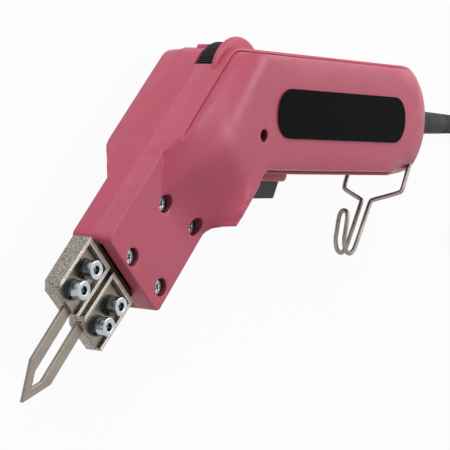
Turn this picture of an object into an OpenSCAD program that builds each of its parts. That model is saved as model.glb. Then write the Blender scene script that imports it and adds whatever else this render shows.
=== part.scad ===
// Electric hot knife lying on its back side panel.
// X runs to the cord, Y to the dial, and Z up out of the label side.
// The origin is on the rest face, under the point where the axis of the handle meets the axis of the head.

/* [Body] */
// Height of the handle over its rim
handle_h = 48.6; // [46:0.2:54]
// Length of the handle from the bend to its rear end
handle_len = 155; // [150:1:175]
// Thickness of the body over both side panels
body_t = 44; // [43:0.5:50]
// Thickness of the rim band between the side panels
rim_t = 26; // [24:0.5:27]
// Thickness of the nose
nose_t = 18; // [17:0.5:21]
// Angle between the head and the handle
head_angle = 47; // [45:0.5:50]
// Length of the head from the bend to the nose face
head_len = 80.2; // [79:0.1:90]
// Distance of the front face from the axis of the head
head_front = 15.4; // [15:0.2:18]
// Distance of the back face of the head from its axis
head_back = 29; // [28.5:0.5:34]
// Distance of the underside of the nose from the axis of the head
nose_back = 26.5; // [26:0.5:28]
// Depth of the ledge behind the nose under the axis of the handle
ledge_drop = 45; // [43:0.5:48]
// Wall of both shells
shell_wall = 2.5; // [2:0.1:2.8]
// Step from the rim in to the raised side panels
panel_inset = 1.5; // [1:0.1:2]
// Rounding of the rear end, seen from the dial side
rear_round = 20; // [17:0.5:21]

/* [Label] */
// Length of the name plate
label_len = 99.6; // [80:0.2:104]
// Height of the name plate
label_h = 19.6; // [15:0.2:24]
// Thickness of the name plate
label_t = 0.3; // [0.2:0.05:0.6]

/* [Shell screws] */
// Shank of the shell screws
shell_screw_d = 2.9; // [2.6:0.1:3.1]
// Head of the shell screws
shell_head_d = 5.6; // [5:0.1:6]
// Well that sinks each head
well_d = 6.9; // [6.6:0.1:7.4]
// Shank of the small screw under the dial
small_screw_d = 2.2; // [2:0.1:2.5]
// Head of the small screw
small_head_d = 4.2; // [3.8:0.1:4.4]
// Well of the small screw
small_well_d = 5; // [4.8:0.1:5.6]

/* [Dial] */
// Diameter of the thumb wheel
wheel_d = 28.4; // [27:0.2:29]
// Thickness of the thumb wheel
wheel_t = 7.6; // [6.6:0.2:8]
// Diameter of the guard fin beside the wheel
guard_d = 32.6; // [31:0.2:34]
// Thickness of the guard fin
guard_t = 2.5; // [2:0.1:3]
// Diameter of the dial shaft
shaft_d = 6; // [5:0.1:6.5]

/* [Trigger] */
// Length of the trigger along the handle
trigger_len = 22.5; // [20:0.5:24]
// Width of the trigger
trigger_w = 10; // [8:0.5:10.5]
// How far the trigger stands out of the handle
trigger_proud = 10.2; // [9:0.2:12]
// Stroke of the trigger
trigger_stroke = 3; // [2:0.1:3.4]
// Depth of the lip around the trigger
lip_h = 3.3; // [2:0.1:4]

/* [Blade and holders] */
// Width over both legs of the blade
blade_w = 14.4; // [14:0.2:15.2]
// Width of each leg of the blade
leg_w = 4.4; // [4:0.1:4.6]
// Thickness of the blade
blade_t = 1.6; // [1.2:0.1:2]
// Reach of the blade beyond its holders
blade_reach = 37.8; // [30:0.2:60]
// Length of the pointed end
point_len = 13.6; // [10:0.2:18]
// Length of each blade holder
holder_len = 23.9; // [23.5:0.1:28]
// Width of each blade holder
holder_w = 16.8; // [16.4:0.1:18]
// Slot between the holders
holder_gap = 2.4; // [2:0.1:2.8]
// Thickness of the holders under the clamp plates
holder_bed = 4.5; // [4:0.1:6]
// Height of the holder walls over their bed at the nose
holder_rim = 3.8; // [3:0.1:4.5]
// Wall of the holders
holder_wall = 1.5; // [1:0.1:2]
// Thickness of the clamp plates
plate_t = 1.4; // [1:0.1:2]
// Distance between the two rows of clamp screws
clamp_rows = 20.4; // [20:0.1:21]
// Distance between the screws of one row
clamp_pitch = 9.6; // [9.4:0.1:10.5]
// Thread of the clamp screws
clamp_d = 4; // [3:0.5:4]
// Head of the clamp screws
clamp_head_d = 7; // [6.5:0.1:7.4]
// Height of the clamp screw heads
clamp_head_h = 4; // [3:0.1:5]
// Thickness of the insulating plate on the nose
insulator_t = 1.7; // [1.2:0.1:2.5]

/* [Hook] */
// Wire of the hanging hook
wire_d = 2; // [1.6:0.1:2.2]
// Spread of the two legs of the hook
hook_spread = 30.2; // [29.6:0.1:30.6]
// Drop of the hook under its pivot
hook_drop = 44.2; // [42:0.2:48]

/* [Transformer] */
// Width of the core
core_w = 31; // [30.5:0.1:31.4]
// Stack height of the core
core_stack = 24; // [20:0.5:25]
// Width of the middle limb
limb_w = 11; // [10:0.2:11.4]
// Thickness of the primary winding
primary_t = 1.4; // [1:0.1:1.6]
// Thickness of the secondary strap
strap_t = 1.6; // [1.2:0.1:1.9]
// Width of the conductor bars
bar_w = 7; // [5:0.2:7]
// Thickness of the conductor bars
bar_t = 3; // [2:0.1:3.4]

/* [Electrics] */
// Thickness of the control board
board_t = 1.6; // [1:0.1:2]
// Diameter of the potentiometer under the dial
pot_d = 14.6; // [12:0.2:15]
// Height of the potentiometer
pot_h = 8; // [6:0.2:9]
// Length of the trigger switch
switch_len = 26; // [22:0.5:27]
// Height of the trigger switch
switch_h = 12; // [10.5:0.2:13]
// Thickness of the trigger switch
switch_t = 12; // [10:0.2:14]

/* [Cord] */
// Diameter of the mains cord
cord_d = 6.8; // [6:0.1:7]
// Length of the strain relief outside the body
relief_len = 55; // [50:1:60]
// Diameter of the strain relief at the body
relief_d = 11.9; // [11:0.1:13]
// Diameter of the strain relief at its tip
relief_tip_d = 8.4; // [8.2:0.1:9.4]

/* [Hidden] */
// Smoothness of round surfaces
$fn = 48;
// Steps along a rounded corner of an outline
corner_steps = 8;
// Overrun of every cut past the surface that it opens
overrun = 1;
// Thin slice that carries each outline of a blended shape
slice = 0.01;
// Gap between pieces that must not touch
free_gap = 0.3;
// Radial clearance of turning pieces
run_gap = 0.1;
// Clearance of pieces that are pushed together
slip = 0.05;
half_t = body_t / 2;
half_h = handle_h / 2;
rim_half = rim_t / 2;
nose_half = nose_t / 2;

// Middle of the name plate along the handle, and the rounding of its ends
label_mid_share = 0.452;
label_round_share = 0.46;

// Corner roundings of the body outline
nose_r = 3;
notch_r = 2;
bend_r = 6;
rear_r = 14;
brow_r = 9;
least_r = 0.4;
foot_r = 4;

// Where the ramp of each shell starts on the nose, along and across the head
foot_shares = [[0.449, -0.93], [0.607, -0.28], [0.623, 0.78]];
back_foot_shares = [[0.636, -0.93], [0.636, 0.78]];
// Lengths of both ramps along the head
ramp_len_share = 0.274;
back_ramp_len_share = 0.249;
ramp_len = ramp_len_share * head_len;
back_ramp_len = back_ramp_len_share * head_len;
// Lap of the two blocks that make up a side panel
panel_lap = 7;
// Rounding of the edge of a side panel, by the share of its height and of its rounding
panel_round = 3.3;
panel_shares = [[0.7, 0.06], [0.9, 0.25], [1, 1]];

// Places of the four shell screws along and across the head
screw_shares = [[0.611, 0], [0.532, 0.683], [0.94, 0], [0.898, 0.724]];
small_screw_shares = [-0.018, 0.514];
// Height of the screw seats over the parting plane, and reach of the screws under it
seat_h = 4.8;
screw_reach = 6;
shell_head_h = 2.2;
small_head_h = 1.8;
boss_wall = 1.1;
recess_w = 0.9;
recess_depth = 1.2;

// Dial
dial_share = 0.06;
dial_depth = 11.7;
dial_at = [dial_share * handle_len, half_h - dial_depth];
wheel_low = -0.9;
wheel_top = wheel_low + wheel_t;
wheel_slack = 0.7;
guard_low = wheel_top + wheel_slack;
guard_top = guard_low + guard_t;
ridge_count = 40;
ridge_d = 1.2;
hub_d = 12;
hub_h = 0.4;
brow_bump_len = 10.3;
brow_bump_shift = -2.5;
brow_bump_t = 5;
brow_bump_h = 2;

// Trigger and switch
trigger_front = 26;
trigger_mid = trigger_front + trigger_len / 2;
trigger_slope = 3.4;
lip_margin = 1.6;
lip_tail = 3.8;
flange_t = 2;
flange_side = 1.5;
stem_d = 6;
stem_reach = 2;
spring_d = 10;
spring_wire = 0.7;
spring_turns = 3;
spring_room = 5;
flange_y = -half_h + shell_wall + free_gap;
switch_y = flange_y + flange_t + spring_room;
switch_bore = stem_reach + trigger_stroke + overrun;
post_share = 0.7;

// Blade holders, measured from the nose face
holder_back = head_len + insulator_t;
bed_low = -5;
bed_top = bed_low + holder_bed;
holder_top = bed_top + holder_rim;
rim_slope = 0.9;
back_wall = 2;
blade_bite = 0.1;
blade_low = bed_top - blade_t + blade_bite;
plate_low = blade_low + blade_t;
plate_gap = 0.2;
washer_d = 8;
washer_t = 0.8;
spring_washer_d = 7.4;
spring_washer_t = 1.2;
spring_washer_cut = 1;
socket_d = 3.4;
socket_depth = 2;
front_chamfer = 2.6;
point_web = 6.4;
clamp_first_share = 0.7;
clamp_first = back_wall + clamp_pitch * clamp_first_share;
leg_in = blade_w / 2 - leg_w;
slot_wall = leg_in - holder_gap / 2 - slip;
insulator_edge = 2;
insulator_side = 0.3;

// Hook
hook_shares = [0.903, -0.617];
hook_at = [hook_shares[0] * handle_len, hook_shares[1] * half_h];
hook_path_shares = [[-0.174, -0.369, 1], [-0.285, -0.475, 0.17], [-0.532, -0.912, 0.145],
    [-0.588, -0.977, 0.145], [-0.652, -1, 0.145], [-0.724, -0.964, 0.145], [-0.758, -0.871, 0.145],
    [-0.719, -0.656, 0.145], [-0.708, -0.6, 0.11], [-0.704, -0.575, 0.045]];
hook_pin = 3.4;
hook_sides = 12;
hook_boss_d = 6;
hook_slot_len = 11.5;
hook_slot_rise = 8;

// Transformer
core_shares = [0.237, 0.29];
core_len_share = 0.349;
core_len = core_len_share * head_len;
core_at = [core_shares[0] * head_len, core_shares[1] * head_back];
yoke_w = limb_w / 2;
window_w = (core_w - 2 * limb_w) / 2;
window_len = core_len - 2 * yoke_w;
bobbin_wall = 1;
bobbin_u = limb_w / 2 + free_gap + bobbin_wall;
bobbin_z = core_stack / 2 + free_gap + bobbin_wall;
strap_in = primary_t + 2 * slip;
strap_u = bobbin_u + strap_in;
strap_z = bobbin_z + strap_in;
strap_low = -core_stack / 2 - 2 * free_gap;
strap_share = 0.6;
strap_w = strap_share * window_len;
rib_t = 2.5;
rib_w = 12;
bar_low = -4;
bar_front_u = -8.5;
bar_back_u = 10;
riser_t = 2;
riser_w = 4;
riser_s = core_at[0] + core_len / 2 + 2 * free_gap;
jog_len = screw_shares[1][0] * head_len - well_d / 2 - boss_wall - riser_s - 2 * free_gap;

// Length of cord inside the body
cord_stub = 29;

// Electrics
board_share = 0.361;
board_at = board_share * handle_len;
board_end = 8;
board_side = 8.3;
board_len = handle_len - cord_stub - board_end - board_at;
board_w = handle_h - 2 * board_side;
board_low = -8;
board_top = board_low + board_t;
board_post_d = 6;
board_post_inset = 4;
// Pieces on the board: lengths along it, widths across it and places, as shares of its size
sink_shares = [0.32, 0.5];
sink_at_shares = [0.08, 0.03];
sink_len = sink_shares[0] * board_len;
sink_w = sink_shares[1] * board_w;
sink_base = 3;
sink_h = 16;
sink_fins = 5;
sink_fin_t = 1.4;
triac_shares = [0.16, 0.14];
triac_h = 15;
capacitor_share = 0.19;
capacitor_h = 15;
capacitor_at_shares = [0.72, 0.25];
choke_share = 0.24;
choke_hole_share = 0.4;
choke_h = 8;
choke_at_shares = [0.74, -0.22];
snubber_shares = [0.2, 0.19];
snubber_h = 11;
snubber_at_shares = [0.46, 0.28];
pot_low = wheel_low - hub_h - free_gap - pot_h;
pot_post_share = 0.7;

// Cord inside the body and its clamp
rear_inside = handle_len - panel_inset - shell_wall;
relief_neck = 1.1;
relief_flange_d = 12.6;
relief_flange_t = 3;
clamp_bar_len = 7;
clamp_bar_w = 24;
clamp_bar_t = 3;
clamp_post_d = 7;
clamp_post_y = 8.5;
saddle_w = 6;
tie_screw_d = 2.6;
tie_head_d = 5;
tie_head_h = 1.8;
tie_screw_reach = 8;
lead_d = 1.8;
lead_sides = 6;

// The free cord: how far each point lies behind the strain relief, and its height as a share of the drop
cord_from = handle_len + relief_len;
cord_z = 4.6;
lead_back = [0, 7, 22, 37, 52, 67, 82, 90];
lead_shares = [1, 1, 0.856, 0.483, 0.167, 0.023, 0, 0];
lead_route = [for (k = [0:len(lead_back) - 1])
    [cord_from + lead_back[k], 0, cord_z + lead_shares[k] * (half_t - cord_z)]];
tube_sides = 10;

// Coil of the cord that is put away, two layers deep
coil_r = 52;
coil_step = 7.6;
coil_turns = 6;
coil_end = 7;
coil_lift = 7.4;
coil_at = [cord_from + lead_back[len(lead_back) - 1] + coil_end, -coil_r];
loop_rings = 24;
coil_sides = 6;
tie_w = 8;
tie_t = 0.8;
tie_gap = 0.4;
tie_turn_share = 0.25;

// From the coil to the plug, in the same way
plug_z = 7;
tail_back = [0, 6, 14, 29, 44, 59, 74, 86, 93];
tail_shares = [1, 0.98, 0.9, 0.6, 0.28, 0.1, 0.02, 0, 0];
tail_route = [for (k = [0:len(tail_back) - 1])
    [coil_at[0] + coil_end + tail_back[k], 0, plug_z + tail_shares[k] * (cord_z + coil_lift - plug_z)]];

// Plug
plug_at = coil_at[0] + coil_end + tail_back[len(tail_back) - 1];
plug_neck_d = 9.5;
plug_neck_len = 14;
plug_len = 34;
plug_w = 26;
plug_h = 13.6;
plug_face_w = 34;
plug_round = 3;
pin_d = 4;
pin_len = 19;
pin_pitch = 19;

// Plain vectors
function flat(p) = [p[0], p[1]];
function unit(v) = v / norm(v);
function turn(a, b) = a[0] * b[1] - a[1] * b[0];

// A place given along and across the head, in the plane of the body
function at_head(p) = [-p[0] * cos(head_angle) + p[1] * sin(head_angle),
    -p[0] * sin(head_angle) - p[1] * cos(head_angle)];
// The point of a line along the head, at the distance u across it, that has the height y
function on_head_line(u, y) = at_head([-(y + u * cos(head_angle)) / sin(head_angle), u]);

// An outline whose corners, each with its radius, are rounded by arcs
function corner_arc(a, b, c) =
    let (p = flat(b), u = unit(flat(a) - p), v = unit(flat(c) - p), half = acos(u * v) / 2)
    let (mid = p + unit(u + v) * b[2] / sin(half), from = p + u * b[2] / tan(half) - mid)
    let (start = atan2(from[1], from[0]), sweep = -sign(turn(u, v)) * (180 - 2 * half))
    [for (k = [0:corner_steps])
        mid + b[2] * [cos(start + sweep * k / corner_steps), sin(start + sweep * k / corner_steps)]];
function rounded(c) = let (n = len(c))
    [for (i = [0:n - 1]) each corner_arc(c[(i + n - 1) % n], c[i], c[(i + 1) % n])];
function corner(p, r) = [p[0], p[1], max(r, least_r)];

// Outline of the whole body, and of its part behind the nose, both drawn in by d
function handle_corners(d) = [
    corner([handle_len - d, -half_h + d], rear_r - d),
    corner([handle_len - d, half_h - d], rear_r - d),
    corner(on_head_line(d - head_front, half_h - d), brow_r - d)];
function ledge_corners(d) = [
    corner(on_head_line(head_back - d, d - ledge_drop), notch_r),
    corner(on_head_line(head_back - d, d - half_h), bend_r + d)];
function body_corners(d) = concat([
    corner(at_head([head_len - d, d - head_front]), nose_r - d),
    corner(at_head([head_len - d, nose_back - d]), nose_r - d),
    corner(on_head_line(nose_back - d, d - ledge_drop), notch_r + d)],
    ledge_corners(d), handle_corners(d));
// The foot of a ramp, moved back along the head; its first corner keeps to the front face drawn in by d
function slide(a, b, u) = a + (b - a) * ((u - a[1]) / (b[1] - a[1]));
function foot_corners(foot, d, back) =
    let (p = [for (f = foot) [f[0] * head_len, f[1] * head_front]])
    [for (i = [0:len(p) - 1])
        corner(at_head((i == 0 ? slide(p[0], p[1], d - head_front) : p[i]) - [back, 0]), foot_r)];
// The two convex blocks of a side panel
function head_block(foot, d, back) =
    concat(foot_corners(foot, d, back), ledge_corners(d), [handle_corners(d)[2]]);
function handle_block(d, back) =
    let (low = ledge_corners(d)[1], brow = handle_corners(d)[2], side = unit(at_head([1, 0])))
    [corner([low[0] - panel_lap, d - half_h], least_r),
     corner([handle_len - d - back, d - half_h], rear_r - d),
     corner([handle_len - d - back, half_h - d], rear_r - d),
     brow, corner(flat(brow) + panel_lap * side, least_r)];
// Set back of the rounded rear end at the height z over the parting plane
function rear_setback(z) = let (h = max(z - (half_t - rear_round), 0))
    rear_round - sqrt(max(rear_round * rear_round - h * h, rear_round));

// A side panel over the parting plane.
// Each level has its height, its inset, and the set back of the ramp and of the rear.
module panel(foot, levels) {
    hull()
        for (v = levels)
            translate([0, 0, v[0]])
                linear_extrude(slice)
                    polygon(rounded(head_block(foot, v[1], v[2])));
    hull()
        for (v = levels)
            translate([0, 0, v[0]])
                linear_extrude(slice)
                    polygon(rounded(handle_block(v[1], v[3])));
}
function ramp_share(z) = (z - nose_half) / (half_t - nose_half);
// A level of the panel of a body that is a wall thinner all round, and all its levels from the lowest
function panel_level(ramp, wall, z, round_share) = [z, panel_inset + wall + round_share * panel_round,
    ramp * max(ramp_share(z + wall), 0), rear_setback(z + wall)];
function panel_levels(ramp, wall, low) = concat(
    [for (z = [low, nose_half - wall]) panel_level(ramp, wall, z, 0)],
    [for (p = panel_shares) panel_level(ramp, wall, p[0] * (half_t - wall) - slice, p[1])]);
function rim_levels(ramp) = [[nose_half - slice, 0, 0, 0],
    [rim_half - slice, 0, ramp * ramp_share(rim_half), rear_setback(rim_half)]];

// Solid half of the body over the parting plane, and the room inside it
module half_skin(foot, ramp) {
    linear_extrude(nose_half)
        polygon(rounded(body_corners(0)));
    panel(foot, rim_levels(ramp));
    panel(foot, panel_levels(ramp, 0, nose_half - overrun));
}
module half_room(foot, ramp) {
    translate([0, 0, -overrun])
        linear_extrude(nose_half - shell_wall + overrun)
            polygon(rounded(body_corners(shell_wall)));
    panel(foot, panel_levels(ramp, shell_wall, -overrun));
}

// Placing
module lifted() {
    translate([0, 0, half_t])
        children();
}
module head_frame() {
    rotate([0, 0, 180 + head_angle])
        children();
}
module at_screws(shares) {
    for (p = shares)
        head_frame()
            translate([p[0] * head_len, p[1] * head_back, 0])
                children();
}
module at_dial() {
    translate([dial_at[0], dial_at[1], 0])
        children();
}
// A box from its low corner to its high corner
module span(a, b) {
    translate(a)
        cube(b - a);
}

// Pieces of the shells that repeat on both sides
module lip_half() {
    span([trigger_front - lip_margin - flange_side - free_gap, -half_h - lip_h, 0],
        [trigger_front + trigger_len + lip_tail, -half_h + shell_wall, trigger_w / 2 + lip_margin]);
}
module trigger_opening() {
    span([trigger_front - free_gap, -half_h - lip_h - overrun, -trigger_w / 2 - free_gap],
        [trigger_front + trigger_len + free_gap, -half_h + shell_wall + overrun, trigger_w / 2 + free_gap]);
}
module wheel_opening() {
    at_dial()
        translate([0, 0, wheel_low - wheel_slack])
            cylinder(d = wheel_d + 2 * wheel_slack, h = wheel_t + 2 * wheel_slack);
}
module nose_opening() {
    head_frame()
        span([head_len - shell_wall - overrun, bar_front_u - bar_w / 2 - 2 * slip, bar_low - free_gap],
            [head_len + overrun, bar_back_u + bar_w / 2 + free_gap, -bar_low + free_gap]);
}
module core_ribs(gap) {
    head_frame()
        for (end = [-1, 1])
            translate([core_at[0] + end * (window_len / 2 + rib_t / 2 + slip) - rib_t / 2,
                core_at[1] - rib_w / 2, core_stack / 2 + gap])
                cube([rib_t, rib_w, half_t - shell_wall - core_stack / 2 - gap + slip]);
}
module switch_post(gap) {
    translate([trigger_mid - post_share * switch_len / 2, switch_y + (1 - post_share) * switch_h / 2,
        switch_t / 2 + gap])
        cube([post_share * switch_len, post_share * switch_h,
            half_t - shell_wall - switch_t / 2 - gap + slip]);
}
module hook_boss() {
    translate([hook_at[0], hook_at[1], hook_spread / 2 + wire_d / 2 + free_gap])
        cylinder(d = hook_boss_d, h = half_t - shell_wall - hook_spread / 2 - wire_d / 2 - free_gap);
}
module hook_cuts() {
    translate([hook_at[0], hook_at[1], hook_spread / 2])
        cylinder(d = wire_d + 2 * run_gap, h = hook_pin + free_gap);
    span([hook_at[0] - hook_slot_len, -half_h - overrun, hook_spread / 2 - wire_d / 2 - free_gap],
        [hook_at[0] + wire_d, hook_at[1] - wire_d, hook_spread / 2 + wire_d / 2 + free_gap]);
    span([hook_at[0] - hook_slot_rise, hook_at[1] - hook_slot_rise,
            hook_spread / 2 - wire_d / 2 - free_gap],
        [hook_at[0] + wire_d, hook_at[1] + wire_d, hook_spread / 2 + wire_d / 2 + free_gap]);
}
module relief_opening() {
    translate([rear_inside - overrun, 0, 0])
        rotate([0, 90, 0])
            cylinder(d = relief_d - 2 * relief_neck + 2 * slip, h = handle_len - rear_inside + 2 * overrun);
}

module label_side_shell() {
    color("palevioletred")
        lifted()
            difference() {
                union() {
                    difference() {
                        union() {
                            half_skin(foot_shares, ramp_len);
                            lip_half();
                        }
                        half_room(foot_shares, ramp_len);
                    }
                    at_screws(screw_shares)
                        cylinder(d = well_d + 2 * boss_wall, h = nose_half - slip);
                    at_screws([small_screw_shares])
                        cylinder(d = small_well_d + 2 * boss_wall, h = half_t - shell_wall + slip);
                    core_ribs(free_gap);
                    switch_post(free_gap);
                    hook_boss();
                    at_dial()
                        translate([0, 0, guard_low])
                            cylinder(d = guard_d, h = guard_t);
                }
                at_screws(screw_shares) {
                    translate([0, 0, -overrun])
                        cylinder(d = shell_screw_d + 2 * slip, h = half_t);
                    translate([0, 0, seat_h])
                        cylinder(d = well_d, h = half_t);
                }
                at_screws([small_screw_shares]) {
                    translate([0, 0, -overrun])
                        cylinder(d = small_screw_d + 2 * slip, h = half_t);
                    translate([0, 0, seat_h])
                        cylinder(d = small_well_d, h = half_t);
                }
                wheel_opening();
                at_dial()
                    cylinder(d = shaft_d + 2 * run_gap, h = half_t - shell_wall);
                trigger_opening();
                nose_opening();
                hook_cuts();
                relief_opening();
            }
}

module back_shell() {
    color("palevioletred")
        lifted()
            mirror([0, 0, 1])
                difference() {
                    union() {
                        difference() {
                            union() {
                                half_skin(back_foot_shares, back_ramp_len);
                                lip_half();
                                brow_bump();
                            }
                            half_room(back_foot_shares, back_ramp_len);
                        }
                        at_screws(screw_shares)
                            cylinder(d = well_d + 2 * boss_wall, h = nose_half - slip);
                        at_screws([small_screw_shares])
                            cylinder(d = small_well_d + 2 * boss_wall, h = half_t - shell_wall + slip);
                        core_ribs(0);
                        switch_post(0);
                        hook_boss();
                        board_posts();
                        pot_post();
                        cord_saddle();
                    }
                    at_screws(screw_shares)
                        translate([0, 0, -overrun])
                            cylinder(d = shell_screw_d + 2 * slip, h = screw_reach + slip + overrun);
                    at_screws([small_screw_shares])
                        translate([0, 0, -overrun])
                            cylinder(d = small_screw_d + 2 * slip, h = screw_reach + slip + overrun);
                    mirror([0, 0, 1])
                        wheel_opening();
                    trigger_opening();
                    nose_opening();
                    hook_cuts();
                    relief_opening();
                    cord_clamp_places()
                        translate([0, 0, cord_d / 2 - tie_screw_reach])
                            mirror([0, 0, 1])
                                translate([0, 0, -tie_screw_reach * 2])
                                    cylinder(d = tie_screw_d + 2 * slip, h = tie_screw_reach * 2);
                }
}

// Low raised pad beside the wheel on the back shell
module brow_bump() {
    mid = dial_at[0] + brow_bump_shift;
    span([mid - brow_bump_len / 2, half_h - shell_wall, -wheel_low + wheel_slack],
        [mid + brow_bump_len / 2, half_h + brow_bump_h, -wheel_low + wheel_slack + brow_bump_t]);
}
module board_posts() {
    for (x = [board_post_inset, board_len - board_post_inset], y = [-1, 1])
        translate([board_at + x, y * (board_w / 2 - board_post_inset), -board_low])
            cylinder(d = board_post_d, h = half_t - shell_wall + board_low + slip);
}
module pot_post() {
    at_dial()
        translate([0, 0, -pot_low])
            cylinder(d = pot_d * pot_post_share, h = half_t - shell_wall + pot_low + slip);
}
module cord_clamp_places() {
    for (y = [-1, 1])
        translate([handle_len - cord_stub + clamp_bar_len, y * clamp_post_y, 0])
            children();
}
module cord_saddle() {
    translate([handle_len - cord_stub + clamp_bar_len / 2, -saddle_w / 2, cord_d / 2])
        cube([clamp_bar_len, saddle_w, half_t - shell_wall - cord_d / 2 + slip]);
    cord_clamp_places()
        translate([0, 0, -cord_d / 2])
            cylinder(d = clamp_post_d, h = half_t - shell_wall + cord_d / 2 + slip);
}

module name_plate() {
    color("black")
        lifted()
            translate([label_mid_share * handle_len, 0, half_t])
                linear_extrude(label_t)
                    polygon(rounded([for (c = [[-1, -1], [1, -1], [1, 1], [-1, 1]])
                        corner([c[0] * label_len / 2, c[1] * label_h / 2], label_h * label_round_share)]));
}

// A pan head screw whose seat is at the height zero
module pan_screw(d, reach, head_d, head_h) {
    difference() {
        union() {
            translate([0, 0, -reach])
                cylinder(d = d, h = reach);
            cylinder(d = head_d, h = head_h);
        }
        for (a = [0, 90])
            rotate([0, 0, a])
                span([-head_d / 4, -recess_w / 2, head_h - recess_depth],
                    [head_d / 4, recess_w / 2, head_h + overrun]);
    }
}
module shell_screws() {
    color("silver")
        lifted()
            at_screws(screw_shares)
                translate([0, 0, seat_h])
                    pan_screw(shell_screw_d, seat_h + screw_reach, shell_head_d, shell_head_h);
}
module small_screw() {
    color("silver")
        lifted()
            at_screws([small_screw_shares])
                translate([0, 0, seat_h])
                    pan_screw(small_screw_d, seat_h + screw_reach, small_head_d, small_head_h);
}

module dial_wheel() {
    color("black")
        lifted()
            at_dial()
                difference() {
                    union() {
                        translate([0, 0, wheel_low])
                            cylinder(d = wheel_d - ridge_d, h = wheel_t);
                        for (k = [0:ridge_count - 1])
                            rotate([0, 0, 360 * k / ridge_count])
                                translate([(wheel_d - ridge_d) / 2, 0, wheel_low])
                                    cylinder(d = ridge_d, h = wheel_t, $fn = 6);
                        translate([0, 0, wheel_low - hub_h])
                            cylinder(d = hub_d, h = hub_h + overrun);
                    }
                    translate([0, 0, wheel_low - wheel_t])
                        cylinder(d = shaft_d + 2 * slip, h = 2 * wheel_t + wheel_t);
                }
}
module dial_shaft() {
    color("silver")
        lifted()
            at_dial()
                translate([0, 0, pot_low + pot_h / 2])
                    cylinder(d = shaft_d, h = guard_top - pot_low - pot_h / 2);
}
module potentiometer() {
    color("dimgray")
        lifted()
            at_dial()
                difference() {
                    translate([0, 0, pot_low])
                        cylinder(d = pot_d, h = pot_h);
                    translate([0, 0, pot_low + pot_h / 2 - free_gap])
                        cylinder(d = shaft_d + 2 * run_gap, h = pot_h);
                }
}

module trigger() {
    color("black")
        lifted() {
            translate([0, 0, -trigger_w / 2])
                linear_extrude(trigger_w)
                    polygon([[trigger_front, flange_y + flange_t],
                        [trigger_front, -half_h - trigger_proud + trigger_slope],
                        [trigger_front + trigger_slope, -half_h - trigger_proud],
                        [trigger_front + trigger_len - trigger_slope, -half_h - trigger_proud],
                        [trigger_front + trigger_len, -half_h - lip_h],
                        [trigger_front + trigger_len, flange_y + flange_t]]);
            span([trigger_front - flange_side, flange_y, -trigger_w / 2],
                [trigger_front + trigger_len + flange_side, flange_y + flange_t, trigger_w / 2]);
            translate([trigger_mid, flange_y, 0])
                rotate([-90, 0, 0])
                    cylinder(d = stem_d, h = flange_t + spring_room + stem_reach);
        }
}
module trigger_spring() {
    rest = spring_room - 2 * slip;
    steps = spring_turns * 8;
    path = [for (k = [0:steps])
        [(spring_d - spring_wire) / 2 * cos(360 * spring_turns * k / steps),
         spring_wire / 2 + (rest - spring_wire) * k / steps,
         (spring_d - spring_wire) / 2 * sin(360 * spring_turns * k / steps)]];
    color("silver")
        lifted()
            translate([trigger_mid, flange_y + flange_t + slip, 0])
                tube(path, spring_wire / 2, coil_sides);
}
module trigger_switch() {
    color("darkslategray")
        lifted()
            difference() {
                span([trigger_mid - switch_len / 2, switch_y, -switch_t / 2],
                    [trigger_mid + switch_len / 2, switch_y + switch_h, switch_t / 2]);
                translate([trigger_mid, switch_y - overrun, 0])
                    rotate([-90, 0, 0])
                        cylinder(d = stem_d + 2 * run_gap, h = switch_bore + overrun);
            }
}

// A place on the control board, as shares of its length and its width
module on_board(p) {
    translate([board_at + p[0] * board_len, p[1] * board_w, board_top])
        children();
}
module control_board() {
    color("darkgreen")
        lifted()
            span([board_at, -board_w / 2, board_low], [board_at + board_len, board_w / 2, board_top]);
}
module heat_sink() {
    color("silver")
        lifted()
            on_board(sink_at_shares)
                translate([0, -sink_w + sink_base, 0]) {
                    translate([0, sink_w - sink_base, 0])
                        cube([sink_len, sink_base, sink_h]);
                    for (k = [0:sink_fins - 1])
                        translate([(sink_len - sink_fin_t) * k / (sink_fins - 1), 0, 0])
                            cube([sink_fin_t, sink_w, sink_h]);
                }
}
module triac() {
    color("black")
        lifted()
            on_board(sink_at_shares)
                translate([(sink_len - triac_shares[0] * board_len) / 2, sink_base, 0])
                    cube([triac_shares[0] * board_len, triac_shares[1] * board_w, triac_h]);
}
module capacitor() {
    color("royalblue")
        lifted()
            on_board(capacitor_at_shares)
                cylinder(d = capacitor_share * board_len, h = capacitor_h);
}
module choke() {
    outer = choke_share * board_len;
    color("goldenrod")
        lifted()
            on_board(choke_at_shares)
                difference() {
                    cylinder(d = outer, h = choke_h);
                    translate([0, 0, -overrun])
                        cylinder(d = choke_hole_share * outer, h = choke_h + 2 * overrun);
                }
}
module snubber() {
    size = [snubber_shares[0] * board_len, snubber_shares[1] * board_w, snubber_h];
    color("firebrick")
        lifted()
            on_board(snubber_at_shares)
                translate([-size[0] / 2, -size[1] / 2, 0])
                    cube(size);
}

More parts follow.
